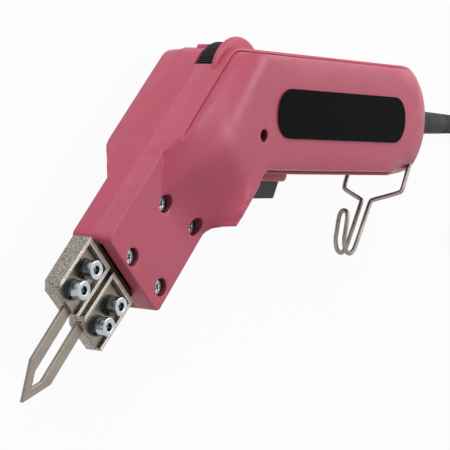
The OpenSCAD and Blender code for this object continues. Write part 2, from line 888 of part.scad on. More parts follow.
// The transformer, drawn about the middle of its core
module at_core() {
    lifted()
        head_frame()
            translate([core_at[0], core_at[1], 0])
                children();
}
module centred(size) {
    translate(-size / 2)
        cube(size);
}
module transformer_core() {
    color("dimgray")
        at_core()
            difference() {
                centred([core_len, core_w, core_stack]);
                for (side = [-1, 1])
                    translate([0, side * (limb_w + window_w) / 2, 0])
                        centred([window_len, window_w, core_stack + 2 * overrun]);
            }
}
module bobbin() {
    span_s = window_len - 2 * free_gap;
    color("ivory")
        at_core()
            difference() {
                union() {
                    centred([span_s, 2 * bobbin_u, 2 * bobbin_z]);
                    for (side = [-1, 1])
                        translate([side * (span_s - bobbin_wall) / 2, 0, 0])
                            centred([bobbin_wall, 2 * (bobbin_u + primary_t), 2 * (bobbin_z + primary_t)]);
                }
                centred([core_len, limb_w + 2 * free_gap, core_stack + 2 * free_gap]);
            }
}
module ring_block(length, inner_u, inner_z, t) {
    difference() {
        centred([length, 2 * (inner_u + t), 2 * (inner_z + t)]);
        centred([length + 2 * overrun, 2 * inner_u, 2 * inner_z]);
    }
}
module primary_winding() {
    color("sienna")
        at_core()
            ring_block(window_len - 2 * free_gap - 2 * bobbin_wall - 2 * slip, bobbin_u + slip,
                bobbin_z + slip, primary_t);
}
// One turn of copper strap over the primary, open on the back side, where its ends meet the conductors
module secondary_strap() {
    color("peru")
        at_core() {
            translate([-strap_w / 2, -strap_u - strap_t, strap_z])
                cube([strap_w, 2 * (strap_u + strap_t), strap_t]);
            for (side = [-1, 1])
                translate([-strap_w / 2, side * (strap_u + strap_t / 2) - strap_t / 2, strap_low])
                    cube([strap_w, strap_t, strap_z - strap_low + slip]);
        }
}
// A conductor from one end of the strap, under the end of the core, up and out through the nose
module conductor(side, bar_u) {
    leg_u = core_at[1] + side * strap_u;
    out_u = leg_u + side * riser_w;
    low = strap_low - riser_t;
    color("peru")
        lifted()
            head_frame() {
                span([core_at[0] - strap_w / 2, min(leg_u, out_u), low],
                    [riser_s + riser_t, max(leg_u, out_u), strap_low]);
                span([riser_s, min(leg_u, out_u), low],
                    [riser_s + riser_t, max(leg_u, out_u), bar_low + bar_t]);
                span([riser_s, min(leg_u, out_u, bar_u - bar_w / 2), bar_low],
                    [riser_s + jog_len, max(leg_u, out_u, bar_u + bar_w / 2), bar_low + bar_t]);
                span([riser_s, bar_u - bar_w / 2, bar_low],
                    [holder_back, bar_u + bar_w / 2, bar_low + bar_t]);
            }
}
module front_conductor() {
    conductor(-1, bar_front_u);
}
module back_conductor() {
    conductor(1, bar_back_u);
}

module nose_insulator() {
    color("saddlebrown")
        lifted()
            head_frame()
                difference() {
                    span([head_len, insulator_edge - head_front, bed_low + insulator_side],
                        [holder_back, holder_gap / 2 + holder_w - insulator_edge, holder_top - insulator_side]);
                    for (u = [bar_front_u, bar_back_u])
                        span([head_len - overrun, u - bar_w / 2 - slip, bar_low - slip],
                            [holder_back + overrun, u + bar_w / 2 + slip, bar_low + bar_t + slip]);
                }
}

// Blade, holders and clamps, drawn from the back face of the holders
module at_holders() {
    lifted()
        head_frame()
            translate([holder_back, 0, 0])
                children();
}
module clamp_places(side) {
    for (k = [0, 1])
        translate([clamp_first + k * clamp_pitch, side * clamp_rows / 2, 0])
            children();
}
// Across the head a holder runs from its slot side, at the factor side, outwards
module across(side, from, to, s0, s1, z0, z1) {
    span([s0, side > 0 ? from : -to, z0], [s1, side > 0 ? to : -from, z1]);
}
module blade_holder(side) {
    outer = holder_gap / 2 + holder_w;
    color("darkgray")
        at_holders()
            difference() {
                translate([0, side > 0 ? outer : -holder_gap / 2, 0])
                    rotate([90, 0, 0])
                        linear_extrude(holder_w)
                            polygon([[0, bed_low], [holder_len, bed_low],
                                [holder_len, holder_top - rim_slope],
                                [0, holder_top]]);
                across(side, holder_gap / 2 + slot_wall, outer - holder_wall, back_wall, holder_len + overrun,
                    bed_top, holder_top + overrun);
                across(side, holder_gap / 2 + slot_wall, blade_w / 2 + slip, back_wall, holder_len + overrun,
                    blade_low, holder_top + overrun);
                clamp_places(side)
                    translate([0, 0, bed_low - overrun])
                        cylinder(d = clamp_d + 2 * slip, h = holder_bed + 2 * overrun);
                translate([holder_len, side > 0 ? holder_gap / 2 : -outer, bed_low - overrun])
                    rotate([0, 0, 45])
                        translate([-front_chamfer * sqrt(1 / 2), -front_chamfer * sqrt(1 / 2), 0])
                            cube([front_chamfer * sqrt(2), front_chamfer * sqrt(2),
                                holder_bed + holder_rim + 2 * overrun]);
            }
}
module front_blade_holder() {
    blade_holder(-1);
}
module back_blade_holder() {
    blade_holder(1);
}
module clamp_plate(side) {
    color("lightgray")
        at_holders()
            difference() {
                across(side, holder_gap / 2 + slot_wall + plate_gap,
                    holder_gap / 2 + holder_w - holder_wall - plate_gap,
                    back_wall + plate_gap, holder_len - plate_gap, plate_low, plate_low + plate_t);
                clamp_places(side)
                    translate([0, 0, plate_low - overrun])
                        cylinder(d = clamp_d + 2 * slip, h = plate_t + 2 * overrun);
            }
}
module front_clamp_plate() {
    clamp_plate(-1);
}
module back_clamp_plate() {
    clamp_plate(1);
}
module at_clamps(z) {
    at_holders()
        for (side = [-1, 1])
            clamp_places(side)
                translate([0, 0, z])
                    children();
}
module clamp_screws() {
    seat = plate_low + plate_t + washer_t + spring_washer_t;
    color("silver")
        at_clamps(seat)
            difference() {
                union() {
                    translate([0, 0, bed_low - seat])
                        cylinder(d = clamp_d, h = seat - bed_low + slip);
                    cylinder(d = clamp_head_d, h = clamp_head_h);
                }
                translate([0, 0, clamp_head_h - socket_depth])
                    cylinder(d = socket_d, h = socket_depth + overrun, $fn = 6);
            }
}
module flat_washers() {
    color("gray")
        at_clamps(plate_low + plate_t)
            difference() {
                cylinder(d = washer_d, h = washer_t);
                translate([0, 0, -overrun])
                    cylinder(d = clamp_d + 2 * slip, h = washer_t + 2 * overrun);
            }
}
module spring_washers() {
    color("dimgray")
        at_clamps(plate_low + plate_t + washer_t)
            difference() {
                cylinder(d = spring_washer_d, h = spring_washer_t);
                translate([0, 0, -overrun])
                    cylinder(d = clamp_d + 2 * slip, h = spring_washer_t + 2 * overrun);
                span([0, -spring_washer_cut / 2, -overrun],
                    [spring_washer_d, spring_washer_cut / 2, spring_washer_t + overrun]);
            }
}
module hot_blade() {
    root = back_wall + plate_gap;
    tip = holder_len + blade_reach;
    shoulder = tip - point_len;
    inner_tip = tip - point_web;
    inner_shoulder = inner_tip - leg_in * point_len / (blade_w / 2);
    color("gray")
        at_holders()
            translate([0, 0, blade_low])
                linear_extrude(blade_t)
                    polygon([[root, -blade_w / 2], [shoulder, -blade_w / 2], [tip, 0],
                        [shoulder, blade_w / 2],
                        [root, blade_w / 2], [root, leg_in], [inner_shoulder, leg_in], [inner_tip, 0],
                        [inner_shoulder, -leg_in], [root, -leg_in]]);
}

// A round tube along a path, with triangles for its sides and its ends
function tangent(p, i) = unit(p[min(i + 1, len(p) - 1)] - p[max(i - 1, 0)]);
function square_to(n, t) = unit(n - (n * t) * t);
function side_of(t) = abs(t[2]) < 0.9 ? unit(cross([0, 0, 1], t)) : unit(cross([0, 1, 0], t));
function normals(p) = [for (i = 0, n = side_of(tangent(p, 0)); i < len(p);
    i = i + 1, n = i < len(p) ? square_to(n, tangent(p, i)) : n) n];
function tube_points(p, r, sides) = let (n = normals(p)) [for (i = [0:len(p) - 1])
    let (t = tangent(p, i), b = cross(t, n[i])) each [for (k = [0:sides - 1])
        p[i] + r * (cos(360 * (k + 0.5) / sides) * n[i] + sin(360 * (k + 0.5) / sides) * b)]];
function tube_faces(rings, sides) = concat(
    [for (i = [0:rings - 2], k = [0:sides - 1]) let (a = i * sides, m = (k + 1) % sides)
        each [[a + k, a + sides + k, a + m], [a + m, a + sides + k, a + sides + m]]],
    [for (k = [1:sides - 2]) [0, k, k + 1]],
    [for (k = [1:sides - 2]) let (a = (rings - 1) * sides) [a, a + k + 1, a + k]]);
module tube(path, r, sides) {
    polyhedron(tube_points(path, r, sides), tube_faces(len(path), sides));
}

// The hook is one bent wire that mirrors about the parting plane, with a pin at each end
module hanging_hook() {
    half = concat([[0, 0, 1]], hook_path_shares);
    near = [for (p = half) [p[0] * hook_drop, p[1] * hook_drop, p[2] * hook_spread / 2]];
    far = [for (i = [len(near) - 1:-1:0]) [near[i][0], near[i][1], -near[i][2]]];
    color("silver")
        lifted()
            translate([hook_at[0], hook_at[1], 0]) {
                tube(concat(near, far), wire_d / 2, hook_sides);
                for (side = [-1, 1])
                    translate([0, 0, side * (hook_spread + hook_pin - wire_d / 2) / 2])
                        cylinder(d = wire_d, h = hook_pin + wire_d / 2, center = true);
            }
}

// Strain relief with its flange behind the rear wall
module strain_relief() {
    neck_d = relief_d - 2 * relief_neck;
    inside = rear_inside - free_gap;
    color("dimgray")
        lifted()
            rotate([0, 90, 0])
                rotate_extrude()
                    polygon([[cord_d / 2 + slip, inside - relief_flange_t],
                        [relief_flange_d / 2, inside - relief_flange_t], [relief_flange_d / 2, inside],
                        [neck_d / 2, inside], [neck_d / 2, handle_len + free_gap],
                        [relief_d / 2, handle_len + free_gap], [relief_tip_d / 2, cord_from],
                        [cord_d / 2 + slip, cord_from]]);
}
module cord_inner() {
    color("black")
        lifted()
            translate([handle_len - cord_stub, 0, 0])
                rotate([0, 90, 0])
                    cylinder(d = cord_d, h = cord_stub + relief_len);
}
module cord_clamp() {
    color("ivory")
        lifted()
            difference() {
                translate([handle_len - cord_stub + clamp_bar_len / 2, -clamp_bar_w / 2, cord_d / 2])
                    cube([clamp_bar_len, clamp_bar_w, clamp_bar_t]);
                cord_clamp_places()
                    cylinder(d = tie_screw_d + 2 * slip, h = half_t);
            }
}
module cord_clamp_screws() {
    color("silver")
        lifted()
            cord_clamp_places()
                translate([0, 0, cord_d / 2 + clamp_bar_t])
                    pan_screw(tie_screw_d, clamp_bar_t + tie_screw_reach, tie_head_d, tie_head_h);
}
// Leads from the cord to the switch and the board, and from the board to the primary
supply_lead_shares = [
    [[0.812, -0.07, 0], [0.79, -0.1, 0.05], [0.74, -0.5, 0.2], [0.5, -0.72, 0.25], [0.36, -0.62, 0.1],
        [0.327, -0.32, 0]],
    [[0.812, 0.07, 0], [0.79, 0.1, 0], [0.775, 0.15, -0.1], [0.755, 0.15, -0.24]]];
coil_lead_shares = [
    [[0.374, 0.29, -0.25], [0.348, 0.29, -0.09], [0.297, 0.29, 0.41], [0.168, 0.12, 0.61],
        [0.026, -0.12, 0.61], [-0.0445, -0.337, 0.61]],
    [[0.374, 0.08, -0.25], [0.348, 0.08, -0.09], [0.297, 0.04, 0.41], [0.181, -0.08, 0.61],
        [0.11, -0.58, 0.61], [0.028, -0.77, 0.61]]];
module leads(shares) {
    for (route = shares)
        tube([for (p = route) [p[0] * handle_len, p[1] * half_h, p[2] * half_t]], lead_d / 2, lead_sides);
}
module supply_leads() {
    color("royalblue")
        lifted()
            leads(supply_lead_shares);
}
module coil_leads() {
    color("firebrick")
        lifted()
            leads(coil_lead_shares);
}

// The cord outside the body
module cord_lead() {
    color("black")
        tube(lead_route, cord_d / 2, tube_sides);
}
module cord_tail() {
    color("black")
        tube(tail_route, cord_d / 2, tube_sides);
}
// The coil spirals in, climbs in the half turn where it reverses, and spirals out again
function coil_radius(t) = coil_r - coil_step * min(t, coil_turns - t);
function coil_point(t) =
    let (r = coil_radius(t), a = 360 * t - 90)
    let (climb = min(max((t - coil_turns / 2) * 2 + 0.5, 0), 1))
    [coil_at[0] + r * cos(a), coil_at[1] - r * sin(a), cord_z + coil_lift * climb];
coil_path = concat([coil_point(0) - [coil_end, 0, 0]],
    [for (k = [0:coil_turns * loop_rings]) coil_point(k / loop_rings)],
    [coil_point(coil_turns) + [coil_end, 0, 0]]);
module cord_coil() {
    color("black")
        tube(coil_path, cord_d / 2, coil_sides);
}
// Least gap between turns of the coil, measured on its points
coil_gap = min([for (i = [0:len(coil_path) - 1], j = [i + loop_rings / 2:1:len(coil_path) - 1])
    norm(coil_path[i] - coil_path[j])]) - cord_d;
echo(coil_gap = coil_gap);
module cord_tie() {
    inner_r = coil_radius(coil_turns / 2 - tie_turn_share) - cord_d / 2 - tie_gap;
    outer_r = coil_radius(coil_turns - tie_turn_share) + cord_d / 2 + tie_gap;
    low = cord_z - cord_d / 2 - tie_gap;
    high = cord_z + coil_lift + cord_d / 2 + tie_gap;
    color("dimgray")
        translate([coil_at[0], coil_at[1], 0])
            difference() {
                span([-outer_r - tie_t, -tie_w / 2, low - tie_t],
                    [-inner_r + tie_t, tie_w / 2, high + tie_t]);
                span([-outer_r, -tie_w / 2 - overrun, low], [-inner_r, tie_w / 2 + overrun, high]);
            }
}
module plug_body() {
    color("black")
        translate([plug_at, 0, plug_z]) {
            rotate([0, 90, 0])
                cylinder(d = plug_neck_d, h = plug_neck_len + plug_round);
            hull() {
                translate([plug_neck_len, -plug_w / 4, -plug_h / 4])
                    cube([plug_round, plug_w / 2, plug_h / 2]);
                for (y = [-1, 1])
                    translate([plug_neck_len + plug_len / 2, y * (plug_w / 2 - plug_round), -plug_h / 2])
                        cylinder(r = plug_round, h = plug_h, $fn = 32);
                translate([plug_neck_len + plug_len - slice, -plug_face_w / 2, -plug_h / 2])
                    cube([slice, plug_face_w, plug_h]);
            }
        }
}
module plug_pins() {
    color("silver")
        for (y = [-1, 1])
            translate([plug_at + plug_neck_len + plug_len, y * pin_pitch / 2, plug_z])
                rotate([0, 90, 0])
                    cylinder(d = pin_d, h = pin_len);
}

label_side_shell();
back_shell();
name_plate();
shell_screws();
small_screw();
dial_wheel();
dial_shaft();
potentiometer();
trigger();
trigger_spring();
trigger_switch();
control_board();
heat_sink();
triac();
capacitor();
choke();
snubber();
transformer_core();
bobbin();
primary_winding();
secondary_strap();
front_conductor();
back_conductor();
nose_insulator();
front_blade_holder();
back_blade_holder();
front_clamp_plate();
back_clamp_plate();
clamp_screws();
flat_washers();
spring_washers();
hot_blade();
hanging_hook();
strain_relief();
cord_inner();
cord_clamp();
cord_clamp_screws();
supply_leads();
coil_leads();
cord_lead();
cord_coil();
cord_tail();
cord_tie();
plug_body();
plug_pins();
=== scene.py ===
import math

import bmesh
import bpy
import numpy as np
from mathutils import Matrix, Vector
from mathutils.geometry import delaunay_2d_cdt

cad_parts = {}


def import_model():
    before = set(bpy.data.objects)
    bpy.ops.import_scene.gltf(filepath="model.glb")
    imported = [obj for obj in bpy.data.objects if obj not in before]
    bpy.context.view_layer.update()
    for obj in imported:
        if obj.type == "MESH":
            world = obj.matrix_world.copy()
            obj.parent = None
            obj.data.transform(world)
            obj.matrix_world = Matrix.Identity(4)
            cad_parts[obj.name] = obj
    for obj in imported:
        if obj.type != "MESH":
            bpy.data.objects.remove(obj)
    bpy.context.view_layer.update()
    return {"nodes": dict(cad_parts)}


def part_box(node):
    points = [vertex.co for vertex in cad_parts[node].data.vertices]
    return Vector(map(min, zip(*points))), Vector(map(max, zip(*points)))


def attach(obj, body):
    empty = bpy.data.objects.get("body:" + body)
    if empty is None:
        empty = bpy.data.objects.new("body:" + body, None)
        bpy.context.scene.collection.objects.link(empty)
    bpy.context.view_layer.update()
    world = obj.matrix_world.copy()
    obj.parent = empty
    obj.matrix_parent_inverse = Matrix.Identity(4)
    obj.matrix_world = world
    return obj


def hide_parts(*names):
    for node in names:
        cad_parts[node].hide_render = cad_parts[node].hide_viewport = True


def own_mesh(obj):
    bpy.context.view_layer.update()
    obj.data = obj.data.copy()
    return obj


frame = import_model()
nodes = frame["nodes"]
scene = bpy.context.scene
scene.view_settings.view_transform = "Standard"

# Sizes are millimetres about the parting plane, which lies LIFT above the floor
MM = 0.001
LIFT = 22.0
# The handle lies along x, and the head bends down from it by this angle
BEND = math.radians(47)
COS, SIN = math.cos(BEND), math.sin(BEND)


def placed(name, data):
    made = bpy.data.objects.new(name, data)
    scene.collection.objects.link(made)
    return made


# Camera at the photograph's viewing angle
CAMERA_PLACE = Vector((-0.5662, -0.0081, 0.4328))
CAMERA_RIGHT = Vector((0.576157, 0.043251, 0.816194))
CAMERA_DOWN = Vector((-0.017482, -0.997718, 0.065211))
CAMERA_AHEAD = Vector((0.817152, -0.051841, -0.574086))
CAMERA_LENS, CAMERA_SENSOR = 144.008, 36
CAMERA_NEAR = 0.01


def photo_camera():
    data = bpy.data.cameras.new("camera")
    data.sensor_width = CAMERA_SENSOR
    data.lens = CAMERA_LENS
    data.clip_start = CAMERA_NEAR
    camera = placed("camera", data)
    turn = Matrix((CAMERA_RIGHT, -CAMERA_DOWN, -CAMERA_AHEAD)).transposed().to_4x4()
    camera.matrix_world = Matrix.Translation(CAMERA_PLACE) @ turn
    scene.camera = camera


photo_camera()

# Sockets of the colour Mix node, whose names other sockets share
MIX_FACTOR, MIX_FIRST, MIX_SECOND, MIX_RESULT = 0, 6, 7, 2
# Part of a noise's range that carries its variation
NOISE_RANGE = (0.3, 0.7)


# Constants on a node's sockets, whose names have _ for a space here
def put(node, **values):
    for key, value in values.items():
        node.inputs[key.replace("_", " ")].default_value = value


# A material with a Principled shader that procedural nodes in object space feed
class Look:
    def __init__(self, name):
        self.material = bpy.data.materials.new(name)
        self.material.use_nodes = True
        self.tree = self.material.node_tree
        self.shader = self.tree.nodes["Principled BSDF"]
        self.place = self.node("ShaderNodeTexCoord").outputs["Object"]

    def node(self, kind, **values):
        made = self.tree.nodes.new(kind)
        for key, value in values.items():
            setattr(made, key, value)
        return made

    def link(self, a, b):
        self.tree.links.new(a, b)

    # Noise in cells a metre; stretch is a scale and a rotation
    def noise(self, scale, detail, rough=0.55, stretch=None):
        made = self.node("ShaderNodeTexNoise")
        put(made, Scale=scale, Detail=detail, Roughness=rough)
        source = self.place
        if stretch:
            mapping = self.node("ShaderNodeMapping")
            put(mapping, Scale=stretch[0], Rotation=stretch[1])
            self.link(self.place, mapping.inputs["Vector"])
            source = mapping.outputs["Vector"]
        self.link(source, made.inputs["Vector"])
        return made.outputs["Fac"]

    def cells(self, scale):
        made = self.node("ShaderNodeTexVoronoi")
        put(made, Scale=scale)
        self.link(self.place, made.inputs["Vector"])
        return made.outputs["Distance"]

    def ramp(self, fac, stops):
        made = self.node("ShaderNodeValToRGB")
        elements = made.color_ramp.elements
        elements[0].position = stops[0][0]
        elements[1].position = stops[-1][0]
        for place, _ in stops[1:-1]:
            elements.new(place)
        for element, (_, colour) in zip(elements, stops):
            element.color = (*colour, 1)
        self.link(fac, made.inputs["Fac"])
        return made.outputs["Color"]

    def span(self, fac, low, high):
        made = self.node("ShaderNodeMapRange")
        put(made, From_Min=NOISE_RANGE[0], From_Max=NOISE_RANGE[1], To_Min=low, To_Max=high)
        self.link(fac, made.inputs["Value"])
        return made.outputs["Result"]

    def colour(self, socket):
        self.link(socket, self.shader.inputs["Base Color"])

    def rough(self, socket):
        self.link(socket, self.shader.inputs["Roughness"])

    # Each layer of the bump is a height, a strength and a depth in millimetres
    def bump(self, *layers):
        normal = None
        for fac, strength, depth in layers:
            made = self.node("ShaderNodeBump")
            put(made, Strength=strength, Distance=depth * MM)
            self.link(fac, made.inputs["Height"])
            if normal:
                self.link(normal, made.inputs["Normal"])
            normal = made.outputs["Normal"]
        self.link(normal, self.shader.inputs["Normal"])


# A colour as a screen shows it, 0 to 255, turned into what a shader takes
def linear(*colour):
    shares = [c / 255 for c in colour]
    return tuple(((c + 0.055) / 1.055) ** 2.4 if c > 0.04 else c / 12.92 for c in shares)


def toned(look, fac, places, *colours):
    return look.ramp(fac, [(place, linear(*colour)) for place, colour in zip(places, colours)])


# Scales of a plastic's noise, in cells a metre, and depths of its bump, in millimetres
TONE_SCALE, GLOSS_SCALE, GRAIN_SCALE, WAVE_SCALE = 45, 160, 2600, 70
GRAIN_DEPTH, WAVE_DEPTH, WAVE_STRENGTH = 0.12, 0.6, 0.05


# Moulded plastic or rubber: a drifting tone, uneven gloss, a fine grain and slight waves
def moulded(name, dark, light, least_rough, most_rough, grain=0.1, specular=0.5):
    look = Look(name)
    put(look.shader, Specular_IOR_Level=specular)
    look.colour(toned(look, look.noise(TONE_SCALE, 4), NOISE_RANGE, dark, light))
    look.rough(look.span(look.noise(GLOSS_SCALE, 3), least_rough, most_rough))
    look.bump((look.noise(GRAIN_SCALE, 2), grain, GRAIN_DEPTH),
              (look.noise(WAVE_SCALE, 2), WAVE_STRENGTH, WAVE_DEPTH))
    return look


# The same of a metal, with the part of its noise that carries the tone
METAL_TONE, METAL_ROUGH, METAL_FINER, METAL_DEPTH = 140, 0.6, 1.7, 0.1
METAL_RANGE = (0.28, 0.72)


# Worked or plated metal; its marks run along the stretch
def metal(name, dark, light, least_rough, most_rough, grain=0.08, scale=900, stretch=None):
    look = Look(name)
    put(look.shader, Metallic=1.0)
    tone = look.noise(METAL_TONE, 5, METAL_ROUGH, stretch)
    look.colour(toned(look, tone, METAL_RANGE, dark, light))
    look.rough(look.span(look.noise(scale, 4, METAL_ROUGH, stretch), least_rough, most_rough))
    look.bump((look.noise(scale * METAL_FINER, 3, METAL_ROUGH, stretch), grain, METAL_DEPTH))
    return look


# The same of a casting; each bump is a strength and a depth
SAND_SCALE, SAND_ROUGH, FACE_SCALE, PIT_SCALE = 1900, 0.65, 160, 1500
SAND_RANGE = (0.34, 0.5, 0.66)
SAND_BUMP, PIT_BUMP = (0.5, 0.2), (0.4, 0.15)
CASTING_GLOSS = (0.26, 0.44)
# Height of a normal at which a face starts to count as upward, and fully does; upward faces take the
# lighter tone of painted light
UP_FROM, UP_FULLY = 0.6, 0.92


# Plated casting: sandy on its sides, where the sand's pits are painted darker as painted shade; the faces
# that look up take a lighter, finer tone, painted light from above
def casting(name, dark, light, lit_top_dark, lit_top_light):
    look = Look(name)
    put(look.shader, Metallic=1.0)
    grain = look.noise(SAND_SCALE, 4, SAND_ROUGH)
    between = [(a + b) / 2 for a, b in zip(dark, light)]
    # The grain's low places, its pits, take the dark tone: painted shade
    sand_and_pit_shade = toned(look, grain, SAND_RANGE, dark, between, light)
    lit_top_tone = toned(look, look.noise(FACE_SCALE, 4), NOISE_RANGE, lit_top_dark, lit_top_light)
    # Faces that look up take a lighter tone: painted light from above
    parts = look.node("ShaderNodeSeparateXYZ")
    look.link(look.node("ShaderNodeNewGeometry").outputs["Normal"], parts.inputs[0])
    lit_top_share = look.node("ShaderNodeMapRange")
    put(lit_top_share, From_Min=UP_FROM, From_Max=UP_FULLY)
    look.link(parts.outputs["Z"], lit_top_share.inputs["Value"])
    mix = look.node("ShaderNodeMix", data_type="RGBA")
    look.link(lit_top_share.outputs["Result"], mix.inputs[MIX_FACTOR])
    look.link(sand_and_pit_shade, mix.inputs[MIX_FIRST])
    look.link(lit_top_tone, mix.inputs[MIX_SECOND])
    look.colour(mix.outputs[MIX_RESULT])
    look.rough(look.span(grain, *CASTING_GLOSS))
    look.bump((grain, *SAND_BUMP), (look.cells(PIT_SCALE), *PIT_BUMP))
    return look


# Faces with this mark take another colour, a darker one that is painted shade
def paint_shade(look, shade_mark, colour):
    plain = look.shader.inputs["Base Color"].links[0].from_socket
    mix = look.node("ShaderNodeMix", data_type="RGBA")
    look.link(look.node("ShaderNodeAttribute", attribute_name=shade_mark).outputs["Fac"], mix.inputs[MIX_FACTOR])
    look.link(plain, mix.inputs[MIX_FIRST])
    mix.inputs[MIX_SECOND].default_value = (*linear(*colour), 1)
    look.colour(mix.outputs[MIX_RESULT])


# Dark and light tone, least and most roughness, grain and specular level
PLASTICS = {
    "rose_plastic": ((192, 82, 106), (199, 88, 113), 0.34, 0.46, 0.06, 0.38),
    "label_black": ((5, 5, 6), (8, 8, 9), 0.36, 0.46, 0.02, 0.02),
    "black_plastic": ((12, 12, 13), (19, 19, 21), 0.36, 0.5, 0.12, 0.28),
    "dark_plastic": ((30, 30, 33), (42, 42, 45), 0.42, 0.56, 0.12),
    "ivory_plastic": ((206, 198, 178), (220, 212, 192), 0.4, 0.52),
    "grey_rubber": ((31, 32, 34), (41, 42, 45), 0.52, 0.68, 0.25, 0.3),
    "black_rubber": ((24, 24, 26), (34, 34, 36), 0.5, 0.64, 0.2, 0.4),
    "board_green": ((18, 74, 46), (26, 90, 56), 0.3, 0.44),
    "capacitor_blue": ((28, 48, 112), (36, 60, 130), 0.28, 0.4),
    "capacitor_red": ((128, 34, 28), (146, 44, 36), 0.32, 0.44),
    "choke_yellow": ((190, 150, 52), (206, 168, 66), 0.4, 0.55),
    "insulator_board": ((52, 40, 32), (70, 54, 42), 0.6, 0.75, 0.3, 0.3),
    "blue_lead": ((34, 58, 128), (44, 70, 146), 0.4, 0.52),
    "red_lead": ((136, 36, 32), (154, 46, 40), 0.4, 0.52)}
# Faces in the wells of the screws carry this mark and take this darker rose as painted shade
WELL_SHADE_MARK = "well"
WELL_SHADE_ROSE = (118, 46, 60)

# How the marks on a metal are stretched: scale and rotation
LAMINATED = ((1, 1, 12), (0, 0, 0))
WOUND = ((8, 1, 1), (0, 0, 0.75))
GROUND = ((0.25, 1, 1), (0, 0, -BEND))
# Dark and light tone, least and most roughness, grain, its scale and its stretch
METALS = {
    "zinc_steel": ((162, 171, 177), (194, 202, 207), 0.22, 0.34, 0.05),
    "bare_steel": ((150, 150, 150), (178, 178, 176), 0.28, 0.42),
    "bare_aluminium": ((176, 178, 180), (200, 202, 204), 0.34, 0.48),
    "core_steel": ((96, 98, 102), (124, 126, 130), 0.4, 0.55, 0.3, 900, LAMINATED),
    "winding_wire": ((128, 66, 34), (170, 94, 52), 0.3, 0.42, 0.5, 500, WOUND),
    "copper": ((172, 98, 62), (200, 122, 82), 0.28, 0.42),
    "nickel_plate": ((126, 118, 107), (158, 150, 138), 0.26, 0.4, 0.12),
    "dark_steel": ((62, 64, 66), (92, 94, 96), 0.32, 0.46, 0.12),
    "blade_alloy": ((134, 126, 117), (150, 142, 132), 0.32, 0.42, 0.06, 1500, GROUND),
    "nickel_wire": ((124, 117, 111), (152, 145, 139), 0.34, 0.44, 0.05),
    "pin_nickel": ((184, 182, 176), (210, 208, 202), 0.2, 0.32)}
# Dark and light tone of the sand, its dark end painted shade in the pits, and of the faces that look up,
# lighter as painted light
CASTINGS = {
    "nickel_casting": ((84, 79, 72), (206, 199, 188), (172, 165, 155), (204, 198, 188))}

looks = {}
for make, rows in ((moulded, PLASTICS), (metal, METALS), (casting, CASTINGS)):
    for name, row in rows.items():
        looks[name] = make(name, *row)
# The wells of the screws get painted shade
paint_shade(looks["rose_plastic"], WELL_SHADE_MARK, WELL_SHADE_ROSE)


# A point of the head, s along its axis and u across it, towards the handle's underside
def at_head(s, u):
    return (-s * COS + u * SIN, -s * SIN - u * COS)


def world(points):
    return (np.asarray(points, float) + [0, 0, LIFT]) * MM


# Lowest and highest corner of a solid
def solid_box(name):
    return [np.array(corner) / MM - [0, 0, LIFT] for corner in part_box(name)]


# Degrees between two faces from which on their edge is sharp
SHARP_ANGLE = 32


# Every piece has a material, named by its slot, smooth faces with sharp edges and a body to ride on
def dress(piece, slot, body="body", angle=SHARP_ANGLE):
    mesh = piece.data
    mesh.materials.clear()
    mesh.materials.append(looks[slot].material)
    if isinstance(mesh, bpy.types.Mesh):
        for face in mesh.polygons:
            face.use_smooth = True
        mesh.set_sharp_from_angle(angle=math.radians(angle))
    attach(piece, body)
    return piece


def new_piece(name, points, faces, slot, body="body", angle=SHARP_ANGLE):
    mesh = bpy.data.meshes.new(name)
    mesh.from_pydata([tuple(v) for v in world(points)], [], faces)
    mesh.validate()
    return dress(placed(name, mesh), slot, body, angle)


# Skin over sections, capped at both ends unless it closes on itself
def loft(sections, closed=False):
    count, n = len(sections), len(sections[0])
    points = [p for section in sections for p in section]
    faces = []
    for k in range(count if closed else count - 1):
        a, b = k * n, (k + 1) % count * n
        faces += [(a + i, a + (i + 1) % n, b + (i + 1) % n, b + i) for i in range(n)]
    if not closed:
        faces += [tuple(reversed(range(n))), tuple(range((count - 1) * n, count * n))]
    return points, faces


# Turned solid from a profile of radii and places along its axis; wave adds to a radius
def lathe(profile, sides, place, axis="z", wave=None):
    rings = []
    for k, (radius, along) in enumerate(profile):
        ring = []
        for i in range(sides):
            a = 2 * math.pi * i / sides
            r = radius + (wave(k, i) if wave else 0)
            p = (r * math.cos(a), r * math.sin(a), along)
            if axis == "x":
                p = (p[2], p[0], p[1])
            ring.append(tuple(np.add(p, place)))
        rings.append(ring)
    return loft(rings)


# Smooth path through points, by Catmull and Rom's formula
def catmull(points, steps):
    p = [np.array(v, float) for v in points]
    p = [2 * p[0] - p[1]] + p + [2 * p[-1] - p[-2]]
    out = []
    for a, b, c, d in zip(p, p[1:], p[2:], p[3:]):
        for k in range(steps):
            t = k / steps
            out.append(0.5 * (2 * b + (c - a) * t + (2 * a - 5 * b + 4 * c - d) * t * t
                              + (3 * b - a - 3 * c + d) * t ** 3))
    out.append(p[-2])
    return np.array(out)


# Section carried along a path without twist
def sweep(path, section, closed=False):
    path = np.asarray(path, float)
    n = len(path)
    tangents = np.empty_like(path)
    for i in range(n):
        a = path[(i - 1) % n] if closed or i > 0 else path[i]
        b = path[(i + 1) % n] if closed or i < n - 1 else path[i]
        tangents[i] = (b - a) / np.linalg.norm(b - a)
    normal = np.cross(tangents[0], [0.0, 0.0, 1.0])
    if np.linalg.norm(normal) < 0.1:
        normal = np.cross(tangents[0], [0.0, 1.0, 0.0])
    sections = []
    for p, t in zip(path, tangents):
        normal = normal - t * normal.dot(t)
        normal /= np.linalg.norm(normal)
        side = np.cross(t, normal)
        sections.append([p + a * normal + b * side for a, b in section])
    return loft(sections, closed)


def circle(r, sides):
    angles = [2 * math.pi * k / sides for k in range(sides)]
    return [(r * math.cos(a), r * math.sin(a)) for a in angles]


